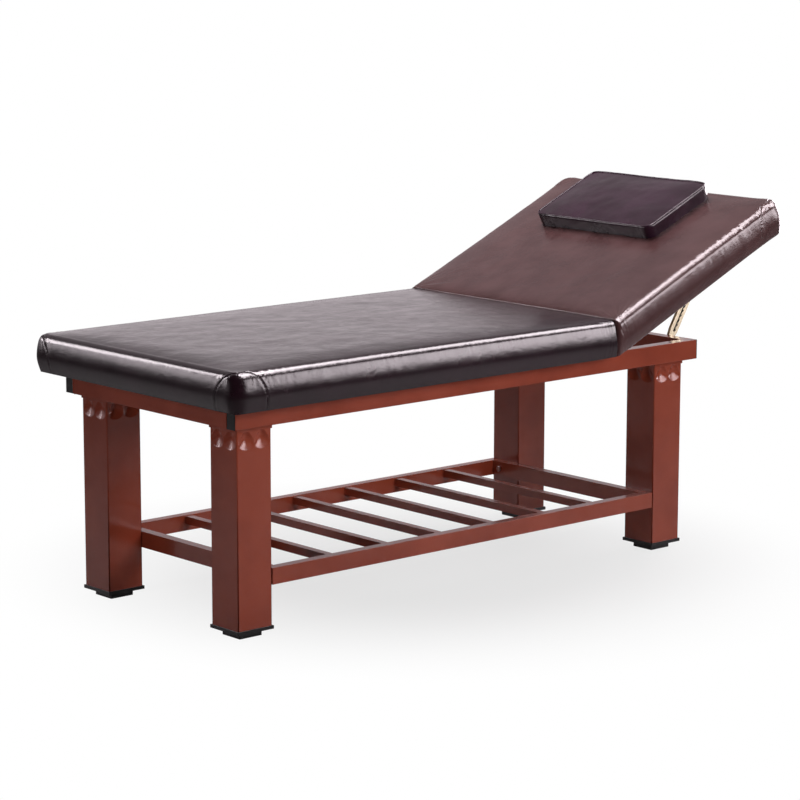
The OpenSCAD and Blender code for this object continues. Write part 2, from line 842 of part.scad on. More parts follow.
// Outline of the channel: a round end about the pin that widens to the full width
module channel_outline(inset) {
    end = stay_l + (inset > 0 ? cut : 0);
    half = channel_w / 2 - inset;
    circle(ear_r - inset);
    polygon([[0, -ear_r + inset], [channel_w, -half], [end, -half], [end, half], [channel_w, half],
        [0, ear_r - inset]]);
}

// The toothed channel along X from its pin: a web with the slot, and two flanges
module stay_channel() {
    slot_l = stay_l - slot_start - slot_end_margin;
    tooth_count = floor(slot_l / tooth_pitch);
    difference() {
        translate([0, channel_y, 0])
            rotate([90, 0, 0])
                difference() {
                    linear_extrude(channel_d) channel_outline(0);
                    translate([0, 0, channel_t]) linear_extrude(channel_d) channel_outline(channel_t);
                    translate([slot_start, -slot_w / 2, -cut]) cube([slot_l, slot_w, channel_t + 2 * cut]);
                    for (k = [0:tooth_count - 1])
                        translate([slot_start + k * tooth_pitch, -slot_w / 2, -cut])
                            linear_extrude(channel_t + 2 * cut)
                                polygon([[0, 0], [tooth_flank, 0], [tooth_flank, -tooth_d]]);
                }
        translate([0, channel_y + cut, 0])
            rotate([90, 0, 0]) cylinder(h = channel_t + 2 * cut, r = stay_pin_r + pin_clear);
    }
}

module stay_channel_near() {
    color("#c9bd98") at_lower_pin() mirror([0, 1, 0]) stay_channel();
}

module stay_channel_far() {
    color("#c9bd98") at_lower_pin() stay_channel();
}

// The slide bar, from the upper pin back towards the lower one
module stay_slide() {
    translate([0, slide_y, 0])
        rotate([90, 0, 0])
            linear_extrude(slide_t)
                difference() {
                    union() {
                        circle(slide_w / 2);
                        translate([-stay_l, -slide_w / 2]) square([stay_l, slide_w]);
                    }
                    circle(stay_pin_r + pin_clear);
                }
}

module stay_slide_near() {
    color("#bdb08a") at_upper_pin() mirror([0, 1, 0]) stay_slide();
}

module stay_slide_far() {
    color("#bdb08a") at_upper_pin() stay_slide();
}

// Upper bracket, drawn with the backrest flat: a base under the board and one ear inside the slide
module slide_bracket() {
    base_top = frame_top + back_lift;
    ear_h = base_top - top_pin_z;
    difference() {
        translate([hinge_x + stay_s, top_ear_y - bracket_base_w / 2, base_top - bracket_base_t / 2])
            cube([bracket_base_w, bracket_base_w, bracket_base_t], center = true);
        bracket_screw_places()
            translate([0, 0, back_lift - bracket_base_t - cut])
                cylinder(h = bracket_base_t + 2 * cut, r = screw_r + fit_clear);
    }
    translate([hinge_x + stay_s, top_ear_y, top_pin_z])
        rotate([90, 0, 0])
            linear_extrude(ear_t)
                difference() {
                    union() {
                        circle(ear_r);
                        translate([-ear_r, 0]) square([2 * ear_r, ear_h]);
                    }
                    circle(stay_pin_r + pin_clear);
                }
}

module slide_bracket_near() {
    color("#9a9a9e") at_rest_angle() mirror([0, 1, 0]) slide_bracket();
}

module slide_bracket_far() {
    color("#9a9a9e") at_rest_angle() slide_bracket();
}

// Upper pins, with a head on the slide's side and one inside the ear
module slide_pins() {
    length = slide_t + side_play + ear_t;
    color("#b9b9bd")
        at_rest_angle()
            both_sides()
                translate([hinge_x + stay_s, slide_y, top_pin_z])
                    rotate([90, 0, 0]) {
                        cylinder(h = length, r = stay_pin_r);
                        translate([0, 0, length]) cylinder(h = pin_head_t, r = pin_head_r);
                    }
}

// Two screws through each upper bracket, on the far side, with the backrest flat
module bracket_screw_places() {
    for (s = [-1, 1])
        translate([hinge_x + stay_s + s * bracket_base_w / 4, top_ear_y - bracket_base_w * 2 / 3, frame_top])
            children();
}

module bracket_screws() {
    color("#8d8d90")
        at_rest_angle()
            both_sides() bracket_screw_places()
                translate([0, 0, back_lift]) wood_screw(bracket_base_t);
}

// Profile of the piped box pillow, as pairs of inset and height
function pillow_profile(t, pipe, rise, half) = concat(
    [[1.5 * pipe, 0], [pipe / 3, pipe / 3], [0, pipe], [pipe / 2, 2 * pipe], [pipe / 3, t / 2],
        [pipe / 2, t - 2 * pipe], [0, t - pipe], [pipe / 3, t - pipe / 3], [1.5 * pipe, t]],
    [for (s = pillow_ring_shares) let (d = 1.5 * pipe + s * (half - 1.5 * pipe))
        [d, t + rise * (1 - (1 - s) * (1 - s))]]);

// One ring of the pillow, centred on the origin
function pillow_ring(pair) =
    let (d = pair[0], x = pillow_l / 2 - d, y = pillow_w / 2 - d, r = max(pillow_corner_r - d, piping_r))
    [for (p = outline(-x, x, y, r, r)) [p.x, p.y, pair[1]]];

// Puts a pillow piece on the backrest, at the rest angle
module pillow_place() {
    at_rest_angle()
        translate([hinge_x + pillow_s, pillow_y, frame_top + back_lift + pillow_z])
            rotate([0, atan(pillow_slope), 0])
                children();
}

module pillow_cover() {
    profile = pillow_profile(pillow_t, piping_r, pillow_crown, pillow_l / 2);
    rings = [for (pair = profile) pillow_ring(pair)];
    n = len(rings[0]);
    m = len(rings);
    points = concat(flat_list(rings), [mid_point(rings[m - 1])], [mid_point(rings[0])]);
    faces = concat(
        flat_list([for (k = [0:m - 2]) band(k * n, n, false)]),
        fan((m - 1) * n, n, m * n, false),
        fan(0, n, m * n + 1, true));
    color("#2b2226")
        pillow_place()
            difference() {
                polyhedron(points, faces);
                pillow_core(0);
            }
}

// The foam inside the pillow, smaller than its pocket by gap on every side
module pillow_core(gap) {
    side = piping_r + skin_t + gap;
    translate([-pillow_l / 2 + 2 * side, -pillow_w / 2 + 2 * side, skin_t + gap])
        cube([pillow_l - 4 * side, pillow_w - 4 * side, pillow_t - 2 * (skin_t + gap)]);
}

module pillow_foam() {
    color("#e2d9b8") pillow_place() pillow_core(fit_clear);
}

side_rail(-1);  // side_rail_near
side_rail(1);  // side_rail_far
cross_rail(frame_x0 + rail_w / 2);  // cross_rail_foot
cross_rail(frame_x1 - rail_w / 2);  // cross_rail_head
cross_rail(frame_x0 + bearer_place_shares[0] * (hinge_x - frame_x0));  // bearer_foot
cross_rail(frame_x0 + bearer_place_shares[1] * (hinge_x - frame_x0));  // bearer_middle
cross_rail(hinge_x - hinge_bearer_back - rail_w / 2);  // bearer_hinge
rail_end_plugs();
corner_plates();
board_tabs();
board_screws();
leg_with_hole(leg_x0, -leg_y);  // leg_foot_near
leg_with_hole(leg_x0, leg_y);  // leg_foot_far
leg_with_hole(leg_x1, -leg_y);  // leg_head_near
leg_with_hole(leg_x1, leg_y);  // leg_head_far
leg_top_plates();
leg_bolts();
glide(leg_x0, -leg_y);  // glide_foot_near
glide(leg_x0, leg_y);  // glide_foot_far
glide(leg_x1, -leg_y);  // glide_head_near
glide(leg_x1, leg_y);  // glide_head_far
shelf_rail(-1);  // shelf_rail_near
shelf_rail(1);  // shelf_rail_far
shelf_cross(shelf_x0, 1);  // shelf_cross_foot
shelf_cross(shelf_x1, -1);  // shelf_cross_head
shelf_slat(1);  // shelf_slat_1
shelf_slat(2);  // shelf_slat_2
shelf_slat(3);  // shelf_slat_3
shelf_slat(4);  // shelf_slat_4
shelf_slat(5);  // shelf_slat_5
shelf_slat(6);  // shelf_slat_6
shelf_bolts();
shelf_rivet_nuts();
seat_board();
seat_foam();
seat_cover();
back_board();
back_foam();
back_cover();
hinge_leaves_seat();
hinge_leaves_back();
hinge_pins();
hinge_screws_seat();
hinge_screws_back();
stay_bracket_near();
stay_bracket_far();
stay_pins();
stay_channel_near();
stay_channel_far();
stay_slide_near();
stay_slide_far();
slide_bracket_near();
slide_bracket_far();
slide_pins();
bracket_screws();
pillow_cover();
pillow_foam();
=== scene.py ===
import json
from math import atan, cos, exp, hypot, pi, radians, sin, sqrt, tan

import bmesh
import bpy
from mathutils import Matrix, Vector, noise
from mathutils.bvhtree import BVHTree

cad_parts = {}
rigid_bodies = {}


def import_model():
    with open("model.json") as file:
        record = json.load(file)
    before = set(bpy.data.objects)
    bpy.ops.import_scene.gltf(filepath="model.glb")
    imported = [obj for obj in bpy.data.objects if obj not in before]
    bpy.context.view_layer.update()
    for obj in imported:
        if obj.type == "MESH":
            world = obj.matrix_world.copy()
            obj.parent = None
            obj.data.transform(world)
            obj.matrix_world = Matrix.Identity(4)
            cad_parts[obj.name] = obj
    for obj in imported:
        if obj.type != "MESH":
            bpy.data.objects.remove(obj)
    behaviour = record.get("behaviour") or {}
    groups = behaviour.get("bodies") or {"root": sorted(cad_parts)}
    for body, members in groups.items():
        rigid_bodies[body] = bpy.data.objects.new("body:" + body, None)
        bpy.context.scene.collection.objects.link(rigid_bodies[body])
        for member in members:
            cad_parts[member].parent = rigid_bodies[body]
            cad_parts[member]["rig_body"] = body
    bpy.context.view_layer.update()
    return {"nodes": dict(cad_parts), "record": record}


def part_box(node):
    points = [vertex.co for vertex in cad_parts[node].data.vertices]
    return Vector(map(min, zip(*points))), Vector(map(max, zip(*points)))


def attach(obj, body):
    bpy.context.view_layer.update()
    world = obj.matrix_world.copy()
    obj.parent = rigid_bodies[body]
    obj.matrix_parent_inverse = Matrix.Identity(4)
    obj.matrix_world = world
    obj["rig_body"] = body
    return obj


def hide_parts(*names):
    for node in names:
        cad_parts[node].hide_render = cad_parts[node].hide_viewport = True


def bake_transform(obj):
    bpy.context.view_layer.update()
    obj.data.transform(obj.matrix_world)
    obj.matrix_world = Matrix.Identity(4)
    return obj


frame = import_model()
record = frame["record"]


# Painted steel rails. The top frame and the shelf are rectangular steel tube, cut and welded,
# then sprayed in one satin mahogany lacquer that pools a little and shows a fine orange peel.
class Wire:
    """A socket in a material. Arithmetic on it adds the Math nodes."""

    def __init__(self, finish, socket):
        self.finish = finish
        self.socket = socket

    def math(self, operation, *values):
        return self.finish.math(operation, *values)

    def __add__(self, other):
        return self.math("ADD", self, other)

    __radd__ = __add__

    def __rsub__(self, other):
        return self.math("SUBTRACT", other, self)

    def __mul__(self, other):
        return self.math("MULTIPLY", self, other)

    __rmul__ = __mul__

    def between(self, low, high):
        """0 below low, 1 above high and smooth between them."""
        return self.finish.node("ShaderNodeMapRange", {"interpolation_type": "SMOOTHSTEP"},
                                {"Value": self, "From Min": low, "From Max": high})


class Finish:
    """A material around one Principled shader; its nodes are added one call at a time."""

    def __init__(self, name, **sockets):
        self.material = bpy.data.materials.new(name)
        self.use(self.material)
        self.shader = self.nodes["Principled BSDF"]
        for socket, value in sockets.items():
            self.set(socket.replace("_", " "), value)

    def use(self, owner):
        owner.use_nodes = True
        self.nodes = owner.node_tree.nodes
        self.links = owner.node_tree.links
        self.place = self.node("ShaderNodeTexCoord", {}, {}, "Object")

    def node(self, kind, settings, sockets, output=0):
        made = self.nodes.new(kind)
        for name, value in settings.items():
            setattr(made, name, value)
        for socket, value in sockets.items():
            if isinstance(value, Wire):
                self.links.new(value.socket, made.inputs[socket])
            else:
                made.inputs[socket].default_value = value
        return Wire(self, made.outputs[output])

    def math(self, operation, *values):
        return self.node("ShaderNodeMath", {"operation": operation}, dict(enumerate(values)))

    def set(self, socket, value):
        if isinstance(value, Wire):
            self.links.new(value.socket, self.shader.inputs[socket])
        else:
            self.shader.inputs[socket].default_value = value

    def stretched(self, x, y, z):
        """Object coordinates, stretched by a factor along each axis."""
        return self.node("ShaderNodeVectorMath", {"operation": "MULTIPLY"}, {0: self.place, 1: (x, y, z)})

    def noise(self, scale, detail=2.0, rough=0.5, place=None, distortion=0.0):
        return self.node("ShaderNodeTexNoise", {}, {
            "Vector": place or self.place, "Scale": scale, "Detail": detail, "Roughness": rough,
            "Distortion": distortion})

    def cells(self, scale, feature="F1", place=None):
        return self.node("ShaderNodeTexVoronoi", {"feature": feature},
                         {"Vector": place or self.place, "Scale": scale}, "Distance")

    def mix(self, share, first, second):
        return self.node("ShaderNodeMix", {"data_type": "RGBA"}, {0: share, 6: first, 7: second}, 2)

    def attribute(self, name):
        return self.node("ShaderNodeAttribute", {"attribute_name": name}, {}, "Fac")

    def bump(self, height, depth, under=None):
        """Relief of a height field whose 0 to 1 is depth metres, over another relief."""
        sockets = {"Height": height, "Distance": depth, "Strength": 1.0}
        if under:
            sockets["Normal"] = under
        return self.node("ShaderNodeBump", {}, sockets)


def mahogany(name, dark, light):
    lacquer = Finish(name, IOR=1.5)
    lacquer.set("Specular IOR Level", 0.24)
    pooled = lacquer.noise(6.0, 4.0)
    specks = lacquer.noise(900.0, 1.0).between(0.55, 0.8)
    colour = lacquer.mix(pooled.between(0.3, 0.7), (*dark, 1), (*light, 1))
    lacquer.set("Base Color", lacquer.mix(specks * 0.10, colour, (0.5, 0.2, 0.13, 1)))
    lacquer.set("Roughness", 0.13 + 0.16 * lacquer.noise(25.0, 3.0))
    peel = lacquer.bump(lacquer.noise(420.0, 1.0), 0.00003)
    lacquer.set("Normal", lacquer.bump(lacquer.noise(14.0, 2.0), 0.0002, peel))
    return lacquer.material


paint = mahogany("mahogany_paint", (0.225, 0.038, 0.019), (0.285, 0.052, 0.027))


def new_piece(name, mesh, material, smooth=True):
    """A Blender object from a finished bmesh, with outward faces."""
    data = bpy.data.meshes.new(name)
    for face in mesh.faces:
        face.smooth = smooth
    mesh.to_mesh(data)
    mesh.free()
    data.materials.append(material)
    piece = bpy.data.objects.new(name, data)
    bpy.context.scene.collection.objects.link(piece)
    return piece


def even_shading(piece):
    """Keeps flat faces flat beside their rolled edges."""
    piece.modifiers.new("even_shading", "WEIGHTED_NORMAL").weight = 90


def rolled(node, radius, material, segments=2, least_angle=35):
    """The CAD solid of a node with its sharp edges rolled to a radius, as bent or moulded ones are."""
    cad = frame["nodes"][node]
    mesh = bmesh.new()
    mesh.from_mesh(cad.data)
    bmesh.ops.remove_doubles(mesh, verts=mesh.verts, dist=0.000002)
    bmesh.ops.dissolve_limit(mesh, angle_limit=radians(0.5), verts=mesh.verts, edges=mesh.edges,
                             use_dissolve_boundaries=False, delimit=set())
    sharp = [e for e in mesh.edges
             if len(e.link_faces) == 2 and e.calc_face_angle() > radians(least_angle)]
    bmesh.ops.bevel(mesh, geom=sharp, offset=radius, offset_type="OFFSET", affect="EDGES",
                    segments=segments, profile=0.5, material=-1, clamp_overlap=True)
    piece = new_piece(node + ".rolled", mesh, material)
    even_shading(piece)
    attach(piece, cad["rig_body"])
    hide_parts(node)
    return piece


RAIL_EDGE = 0.0012
for rail in ("side_rail_near", "side_rail_far"):
    rolled(rail, RAIL_EDGE, paint)


# Cross rails and bearers. The same tube, welded between the side rails; the head one shows
# where the backrest stands up, and the hinge bearer carries the three hinges.
for rail in ("cross_rail_foot", "cross_rail_head", "bearer_foot", "bearer_middle", "bearer_hinge"):
    rolled(rail, RAIL_EDGE, paint)

BEAD_R = 0.0022
BEAD_PITCH = 0.003


def weld_beads(name, runs, body):
    """Overlapping weld drops along straight runs, each run a pair of points, under the paint."""
    mesh = bmesh.new()
    for start, end in runs:
        start = Vector(start)
        way = Vector(end) - start
        count = max(2, round(way.length / BEAD_PITCH))
        for k in range(count):
            at = start + way * (k + 0.5) / count
            turn = way.to_track_quat("X", "Z").to_matrix().to_4x4()
            drop = Matrix.Translation(at) @ turn @ Matrix.Diagonal((1.25, 1.0, 1.0, 1))
            bmesh.ops.create_icosphere(mesh, subdivisions=1, radius=BEAD_R, matrix=drop)
    piece = new_piece(name, mesh, paint)
    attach(piece, body)
    return piece


side_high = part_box("side_rail_near")[1]
rail_inner_y = -side_high.y
frame_runs = []
for rail in ("cross_rail_foot", "cross_rail_head", "bearer_foot", "bearer_middle", "bearer_hinge"):
    low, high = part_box(rail)
    for side in (-1, 1):
        y = side * (rail_inner_y - 0.0006)
        for x in (low.x + 0.0003, high.x - 0.0003):
            frame_runs.append(((x, y, low.z + 0.004), (x, y, high.z - 0.004)))
        frame_runs.append(((low.x + 0.003, y, low.z), (high.x - 0.003, y, low.z)))
weld_beads("frame_welds", frame_runs, "frame")


# Black plastic: the plugs pushed into the ends of the side rails and the glides under the legs.
# Injection moulded, with a fine spark-eroded texture that is rubbed smooth on the corners.
def moulded_plastic():
    plastic = Finish("black_plastic", IOR=1.5)
    plastic.set("Specular IOR Level", 0.25)
    scuffs = plastic.noise(60.0, 6.0, 0.7).between(0.52, 0.75)
    plastic.set("Base Color", plastic.mix(scuffs, (0.004, 0.004, 0.004, 1), (0.013, 0.012, 0.012, 1)))
    plastic.set("Roughness", 0.34 + 0.2 * scuffs)
    plastic.set("Normal", plastic.bump(plastic.noise(1600.0, 2.0), 0.00003))
    return plastic.material


black_plastic = moulded_plastic()
rolled("rail_end_plugs", 0.0008, black_plastic)


# Corner plates, board tabs and the plates in the tops of the legs: flat bar, sheared and drilled,
# welded in before painting. Zinc-plated bolts and screws go through them.
def zinc(name, colour, roughness):
    metal = Finish(name, Metallic=1.0, Roughness=roughness)
    bloom = metal.noise(220.0, 5.0, 0.65)
    r, g, b = colour
    dull = (r * 0.78, g * 0.78, b * 0.76, 1)
    metal.set("Base Color", metal.mix(bloom.between(0.35, 0.7), dull, (r, g, b, 1)))
    metal.set("Roughness", roughness - 0.06 + 0.16 * bloom)
    drawn = metal.noise(60.0, 3.0, 0.6, metal.stretched(1.0, 1.0, 14.0))
    metal.set("Normal", metal.bump(drawn, 0.00004))
    return metal.material


bright_zinc = zinc("zinc_fasteners", (0.62, 0.62, 0.64), 0.3)
for plate in ("corner_plates", "board_tabs", "leg_top_plates"):
    rolled(plate, 0.0006, paint)
for bolt in ("leg_bolts", "board_screws"):
    rolled(bolt, 0.0004, bright_zinc)


# Legs: 100 mm square steel tube with a pressed collar under the rail. Two dents are pressed
# into each face right under the collar, like drops: narrow at the collar and round below.
LEG_W = 0.100
LEG_EDGE = 0.003
COLLAR_H = 0.013
COLLAR_OUT = 0.002
DENT_W = 0.045
DENT_H = 0.043
DENT_DEPTH = 0.0080
DENT_PITCH = 0.045
DENT_BELLY = 0.64
DENT_DEEP = 0.34
DENT_STEPS = (64, 36)
dent_zone = DENT_H + 0.006


def dent(across, below):
    """Depth of the pressed drops at a place on a leg's face, below the collar."""
    share = below / DENT_H
    if not 0 < share < 1:
        return 0.0
    if share < DENT_BELLY:
        half = DENT_W / 2 * (0.34 + 0.66 * sin(pi / 2 * share / DENT_BELLY) ** 1.3)
    else:
        half = DENT_W / 2 * sqrt(max(0.0, 1 - ((share - DENT_BELLY) / (1 - DENT_BELLY)) ** 2)) ** 0.9
    if share < DENT_DEEP:
        deep = sin(pi / 2 * share / DENT_DEEP) ** 0.6
    else:
        deep = cos(pi / 2 * (share - DENT_DEEP) / (1 - DENT_DEEP))
    depth = 0.0
    for middle in (-DENT_PITCH / 2, DENT_PITCH / 2):
        off = abs(across - middle) / max(half, 1e-6)
        if off < 1:
            depth = max(depth, DENT_DEPTH * deep * cos(pi / 2 * off))
    return depth


def make_leg(node):
    low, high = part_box(node)
    middle = (low + high) / 2
    collar_z = high.z - COLLAR_H
    mesh = bmesh.new()
    shell = bmesh.ops.create_cube(mesh, size=1.0)
    size = Matrix.Diagonal((LEG_W, LEG_W, high.z - low.z, 1))
    bmesh.ops.transform(mesh, matrix=Matrix.Translation(middle) @ size, verts=shell["verts"])
    upright = [e for e in mesh.edges if abs(e.verts[0].co.z - e.verts[1].co.z) > LEG_W]
    bmesh.ops.bevel(mesh, geom=upright, offset=LEG_EDGE, offset_type="OFFSET", affect="EDGES",
                    segments=4, profile=0.5, material=-1)
    for z in (collar_z, collar_z - dent_zone):
        bmesh.ops.bisect_plane(mesh, geom=mesh.verts[:] + mesh.edges[:] + mesh.faces[:],
                               plane_co=(0, 0, z), plane_no=(0, 0, 1), dist=0.00001)
    zone = [f for f in mesh.faces
            if f.calc_area() > LEG_W * 0.02 and abs(f.normal.z) < 0.5
            and collar_z - dent_zone < f.calc_center_median().z < collar_z]
    edges = {e for f in zone for e in f.edges}
    level = [e for e in edges if abs(e.verts[0].co.z - e.verts[1].co.z) < 0.001]
    bmesh.ops.subdivide_edges(mesh, edges=level, cuts=DENT_STEPS[0], use_grid_fill=True)
    columns = [e for e in mesh.edges
               if abs(e.verts[0].co.z - e.verts[1].co.z) > dent_zone * 0.9
               and abs(e.verts[0].co.z + e.verts[1].co.z - 2 * collar_z + dent_zone) < 0.002]
    bmesh.ops.subdivide_edges(mesh, edges=columns, cuts=DENT_STEPS[1], use_grid_fill=True)
    for v in mesh.verts:
        side = v.co - middle
        below = collar_z - v.co.z
        if 0 <= below < dent_zone:
            if abs(side.x) > LEG_W / 2 - 0.0001:
                v.co.x -= dent(side.y, below) * (1 if side.x > 0 else -1)
            elif abs(side.y) > LEG_W / 2 - 0.0001:
                v.co.y -= dent(side.x, below) * (1 if side.y > 0 else -1)
    collar = bmesh.ops.create_cube(mesh, size=1.0)
    width = LEG_W + 2 * COLLAR_OUT
    size = Matrix.Diagonal((width, width, COLLAR_H, 1))
    at = Matrix.Translation((middle.x, middle.y, high.z - COLLAR_H / 2))
    bmesh.ops.transform(mesh, matrix=at @ size, verts=collar["verts"])
    collar_edges = {e for v in collar["verts"] for e in v.link_edges}
    bmesh.ops.bevel(mesh, geom=list(collar_edges), offset=0.0009, offset_type="OFFSET", affect="EDGES",
                    segments=3, profile=0.5, material=-1)
    piece = new_piece(node + ".tube", mesh, paint)
    even_shading(piece)
    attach(piece, "frame")
    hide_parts(node)


for leg in ("leg_foot_near", "leg_foot_far", "leg_head_near", "leg_head_far"):
    make_leg(leg)


# Glides: moulded black feet. The pad stands on the floor, the flange closes the end of the tube
# and a plug inside it holds by friction.
for glide in ("glide_foot_near", "glide_foot_far", "glide_head_near", "glide_head_far"):
    rolled(glide, 0.0012, black_plastic)


# Shelf: two long rails and two cross rails bolted between the legs, with six square slats
# welded between the long rails a little below their tops.
slats = ["shelf_slat_%d" % number for number in range(1, 7)]
for tube in ["shelf_rail_near", "shelf_rail_far", "shelf_cross_foot", "shelf_cross_head"] + slats:
    rolled(tube, 0.001, paint)

shelf_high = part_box("shelf_slat_1")[1]
shelf_runs = []
for slat in slats:
    low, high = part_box(slat)
    for side in (-1, 1):
        y = side * (shelf_high.y - 0.0006)
        shelf_runs.append(((low.x + 0.002, y, low.z), (high.x - 0.002, y, low.z)))
        for x in (low.x, high.x):
            shelf_runs.append(((x, y, low.z + 0.002), (x, y, high.z - 0.002)))
weld_beads("shelf_welds", shelf_runs, "frame")


# Shelf bolts and the rivet nuts that they screw into inside the legs.
for bolt in ("shelf_bolts", "shelf_rivet_nuts"):
    rolled(bolt, 0.0005, bright_zinc)


# Boards under the cushions: 15 mm plywood, sawn and left bare, so the plies show on the edges.
def plywood():
    wood = Finish("plywood", Roughness=0.62, IOR=1.45)
    plies = wood.node("ShaderNodeTexWave", {"bands_direction": "Z", "wave_profile": "SIN"},
                      {"Vector": wood.place, "Scale": 105.0, "Distortion": 0.6, "Detail": 2.0})
    grain = wood.noise(30.0, 6.0, 0.65, wood.stretched(1.0, 14.0, 1.0), 0.4)
    face = wood.mix(grain.between(0.3, 0.75), (0.50, 0.33, 0.17, 1), (0.68, 0.50, 0.30, 1))
    wood.set("Base Color", wood.mix(plies.between(0.2, 0.5) * 0.25, face, (0.36, 0.22, 0.11, 1)))
    wood.set("Normal", wood.bump(grain, 0.0002))
    return wood.material


ply = plywood()
for board in ("seat_board", "back_board"):
    rolled(board, 0.0006, ply)


# Foam blocks inside the covers: open-cell polyurethane, cut with a hot wire.
def open_cell_foam():
    foam = Finish("foam", Roughness=0.95)
    pores = foam.cells(700.0)
    # Painted shade in the pores: the colour is darker in their pits, where the bump sinks.
    foam.set("Base Color", foam.mix(pores.between(0.1, 0.5), (0.58, 0.50, 0.32, 1), (0.80, 0.74, 0.55, 1)))
    foam.set("Normal", foam.bump(pores, 0.0006))
    return foam.material


foam_finish = open_cell_foam()
for block in ("seat_foam", "back_foam"):
    rolled(block, 0.016, foam_finish, segments=4)
rolled("pillow_foam", 0.018, foam_finish, segments=4)


# Hinges along the seam: three zinc-plated steel butt hinges, each screwed up into both boards.
# The screws of the stays' brackets are of the same kind.
plain_zinc = zinc("zinc_steel", (0.58, 0.58, 0.60), 0.34)
for leaf in ("hinge_leaves_seat", "hinge_leaves_back"):
    rolled(leaf, 0.0004, plain_zinc)
for pin in ("hinge_pins", "hinge_screws_seat", "hinge_screws_back", "bracket_screws"):
    rolled(pin, 0.0003, bright_zinc)


# Stays: a toothed channel swings on the frame's head rail, and a slide bar from the backrest
# rests in its teeth. The channels are yellow-passivated steel, so they look cream beside the
# zinc. The slide bars are near-black oiled steel, kept that dark also as painted shade in the slots.
passivated = zinc("stay_steel", (0.62, 0.55, 0.40), 0.42)
for bracket in ("stay_bracket_near", "stay_bracket_far", "slide_bracket_near", "slide_bracket_far",
                "stay_pins", "slide_pins"):
    rolled(bracket, 0.0005, plain_zinc)
for bar in ("stay_channel_near", "stay_channel_far"):
    rolled(bar, 0.0005, passivated)
# The slide bars' near-black colour is partly painted shade: it makes the slots look dark.
oiled_and_shade_dark = zinc("stay_slide_steel", (0.06, 0.055, 0.05), 0.45)
for bar in ("stay_slide_near", "stay_slide_far"):
    rolled(bar, 0.0005, oiled_and_shade_dark)


# Painted shade in the slots: a thin black strip stands in each channel behind its toothed slot,
# so that the slot shows black as deep shade would. It is made like a snapped-in guard against fingers and
# fabric.
SHADE_STRIP_L = 0.144
SHADE_STRIP_W = 0.021
SHADE_STRIP_T = 0.0006
SHADE_STRIP_MIDDLE = 0.093
SHADE_STRIP_SIDE = 0.0011
pins = {joint["name"]: joint.get("pos_m") for joint in record["behaviour"]["joints"]}
for place, side in (("near", -1), ("far", 1)):
    foot = Vector(pins["stay_" + place + "_pivot"])
    along = (Vector(pins["slide_" + place + "_pivot"]) - foot).normalized()
    middle = foot + along * SHADE_STRIP_MIDDLE + Vector((0, side * SHADE_STRIP_SIDE, 0))
    turn = along.to_track_quat("X", "Z").to_matrix().to_4x4()
    strip = bmesh.new()
    bmesh.ops.create_cube(strip, size=1.0, matrix=Matrix.Translation(middle) @ turn @ Matrix.Diagonal(
        (SHADE_STRIP_L, SHADE_STRIP_T, SHADE_STRIP_W, 1)))
    shade_strip = new_piece("slot_shade_strip_" + place, strip, black_plastic, smooth=False)
    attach(shade_strip, "stay_" + place)


# Flat cushion's cover: glossy imitation leather over foam on a plywood board, pulled down the
# sides and stapled underneath. Arched corner patches are sewn in with a double row of stitches.
def leather(name, deep, pale, roughness, gloss=0.32):
    hide = Finish(name, IOR=1.5)
    hide.set("Specular IOR Level", gloss)
    mottle = hide.noise(9.0, 5.0, 0.6)
    hide.set("Base Color", hide.mix(mottle.between(0.25, 0.75), (*deep, 1), (*pale, 1)))
    creases = hide.noise(30.0, 5.0, 0.6, distortion=0.8)
    hide.set("Roughness", roughness - 0.06 + 0.16 * creases)
    pebbles = hide.cells(700.0, "SMOOTH_F1")
    grain = hide.bump(pebbles, 0.00006)
    rumple = hide.bump(creases, 0.0007, grain)
    sewn = (hide.attribute("seam") * 700.0).between(0.0, 1.0)
    hide.set("Normal", hide.bump(sewn, 0.0012, rumple))
    return hide.material


# The seat's leather is set much darker than the backrest's, partly painted shade: dark enough that its
# corner patches, in dim light, read black.
seat_leather = leather("seat_leather", (0.009, 0.003, 0.005), (0.020, 0.007, 0.012), 0.19)

CORNER_ZONE = 0.060
SIDE_LEVELS = 13
ARC_LEVELS = 6


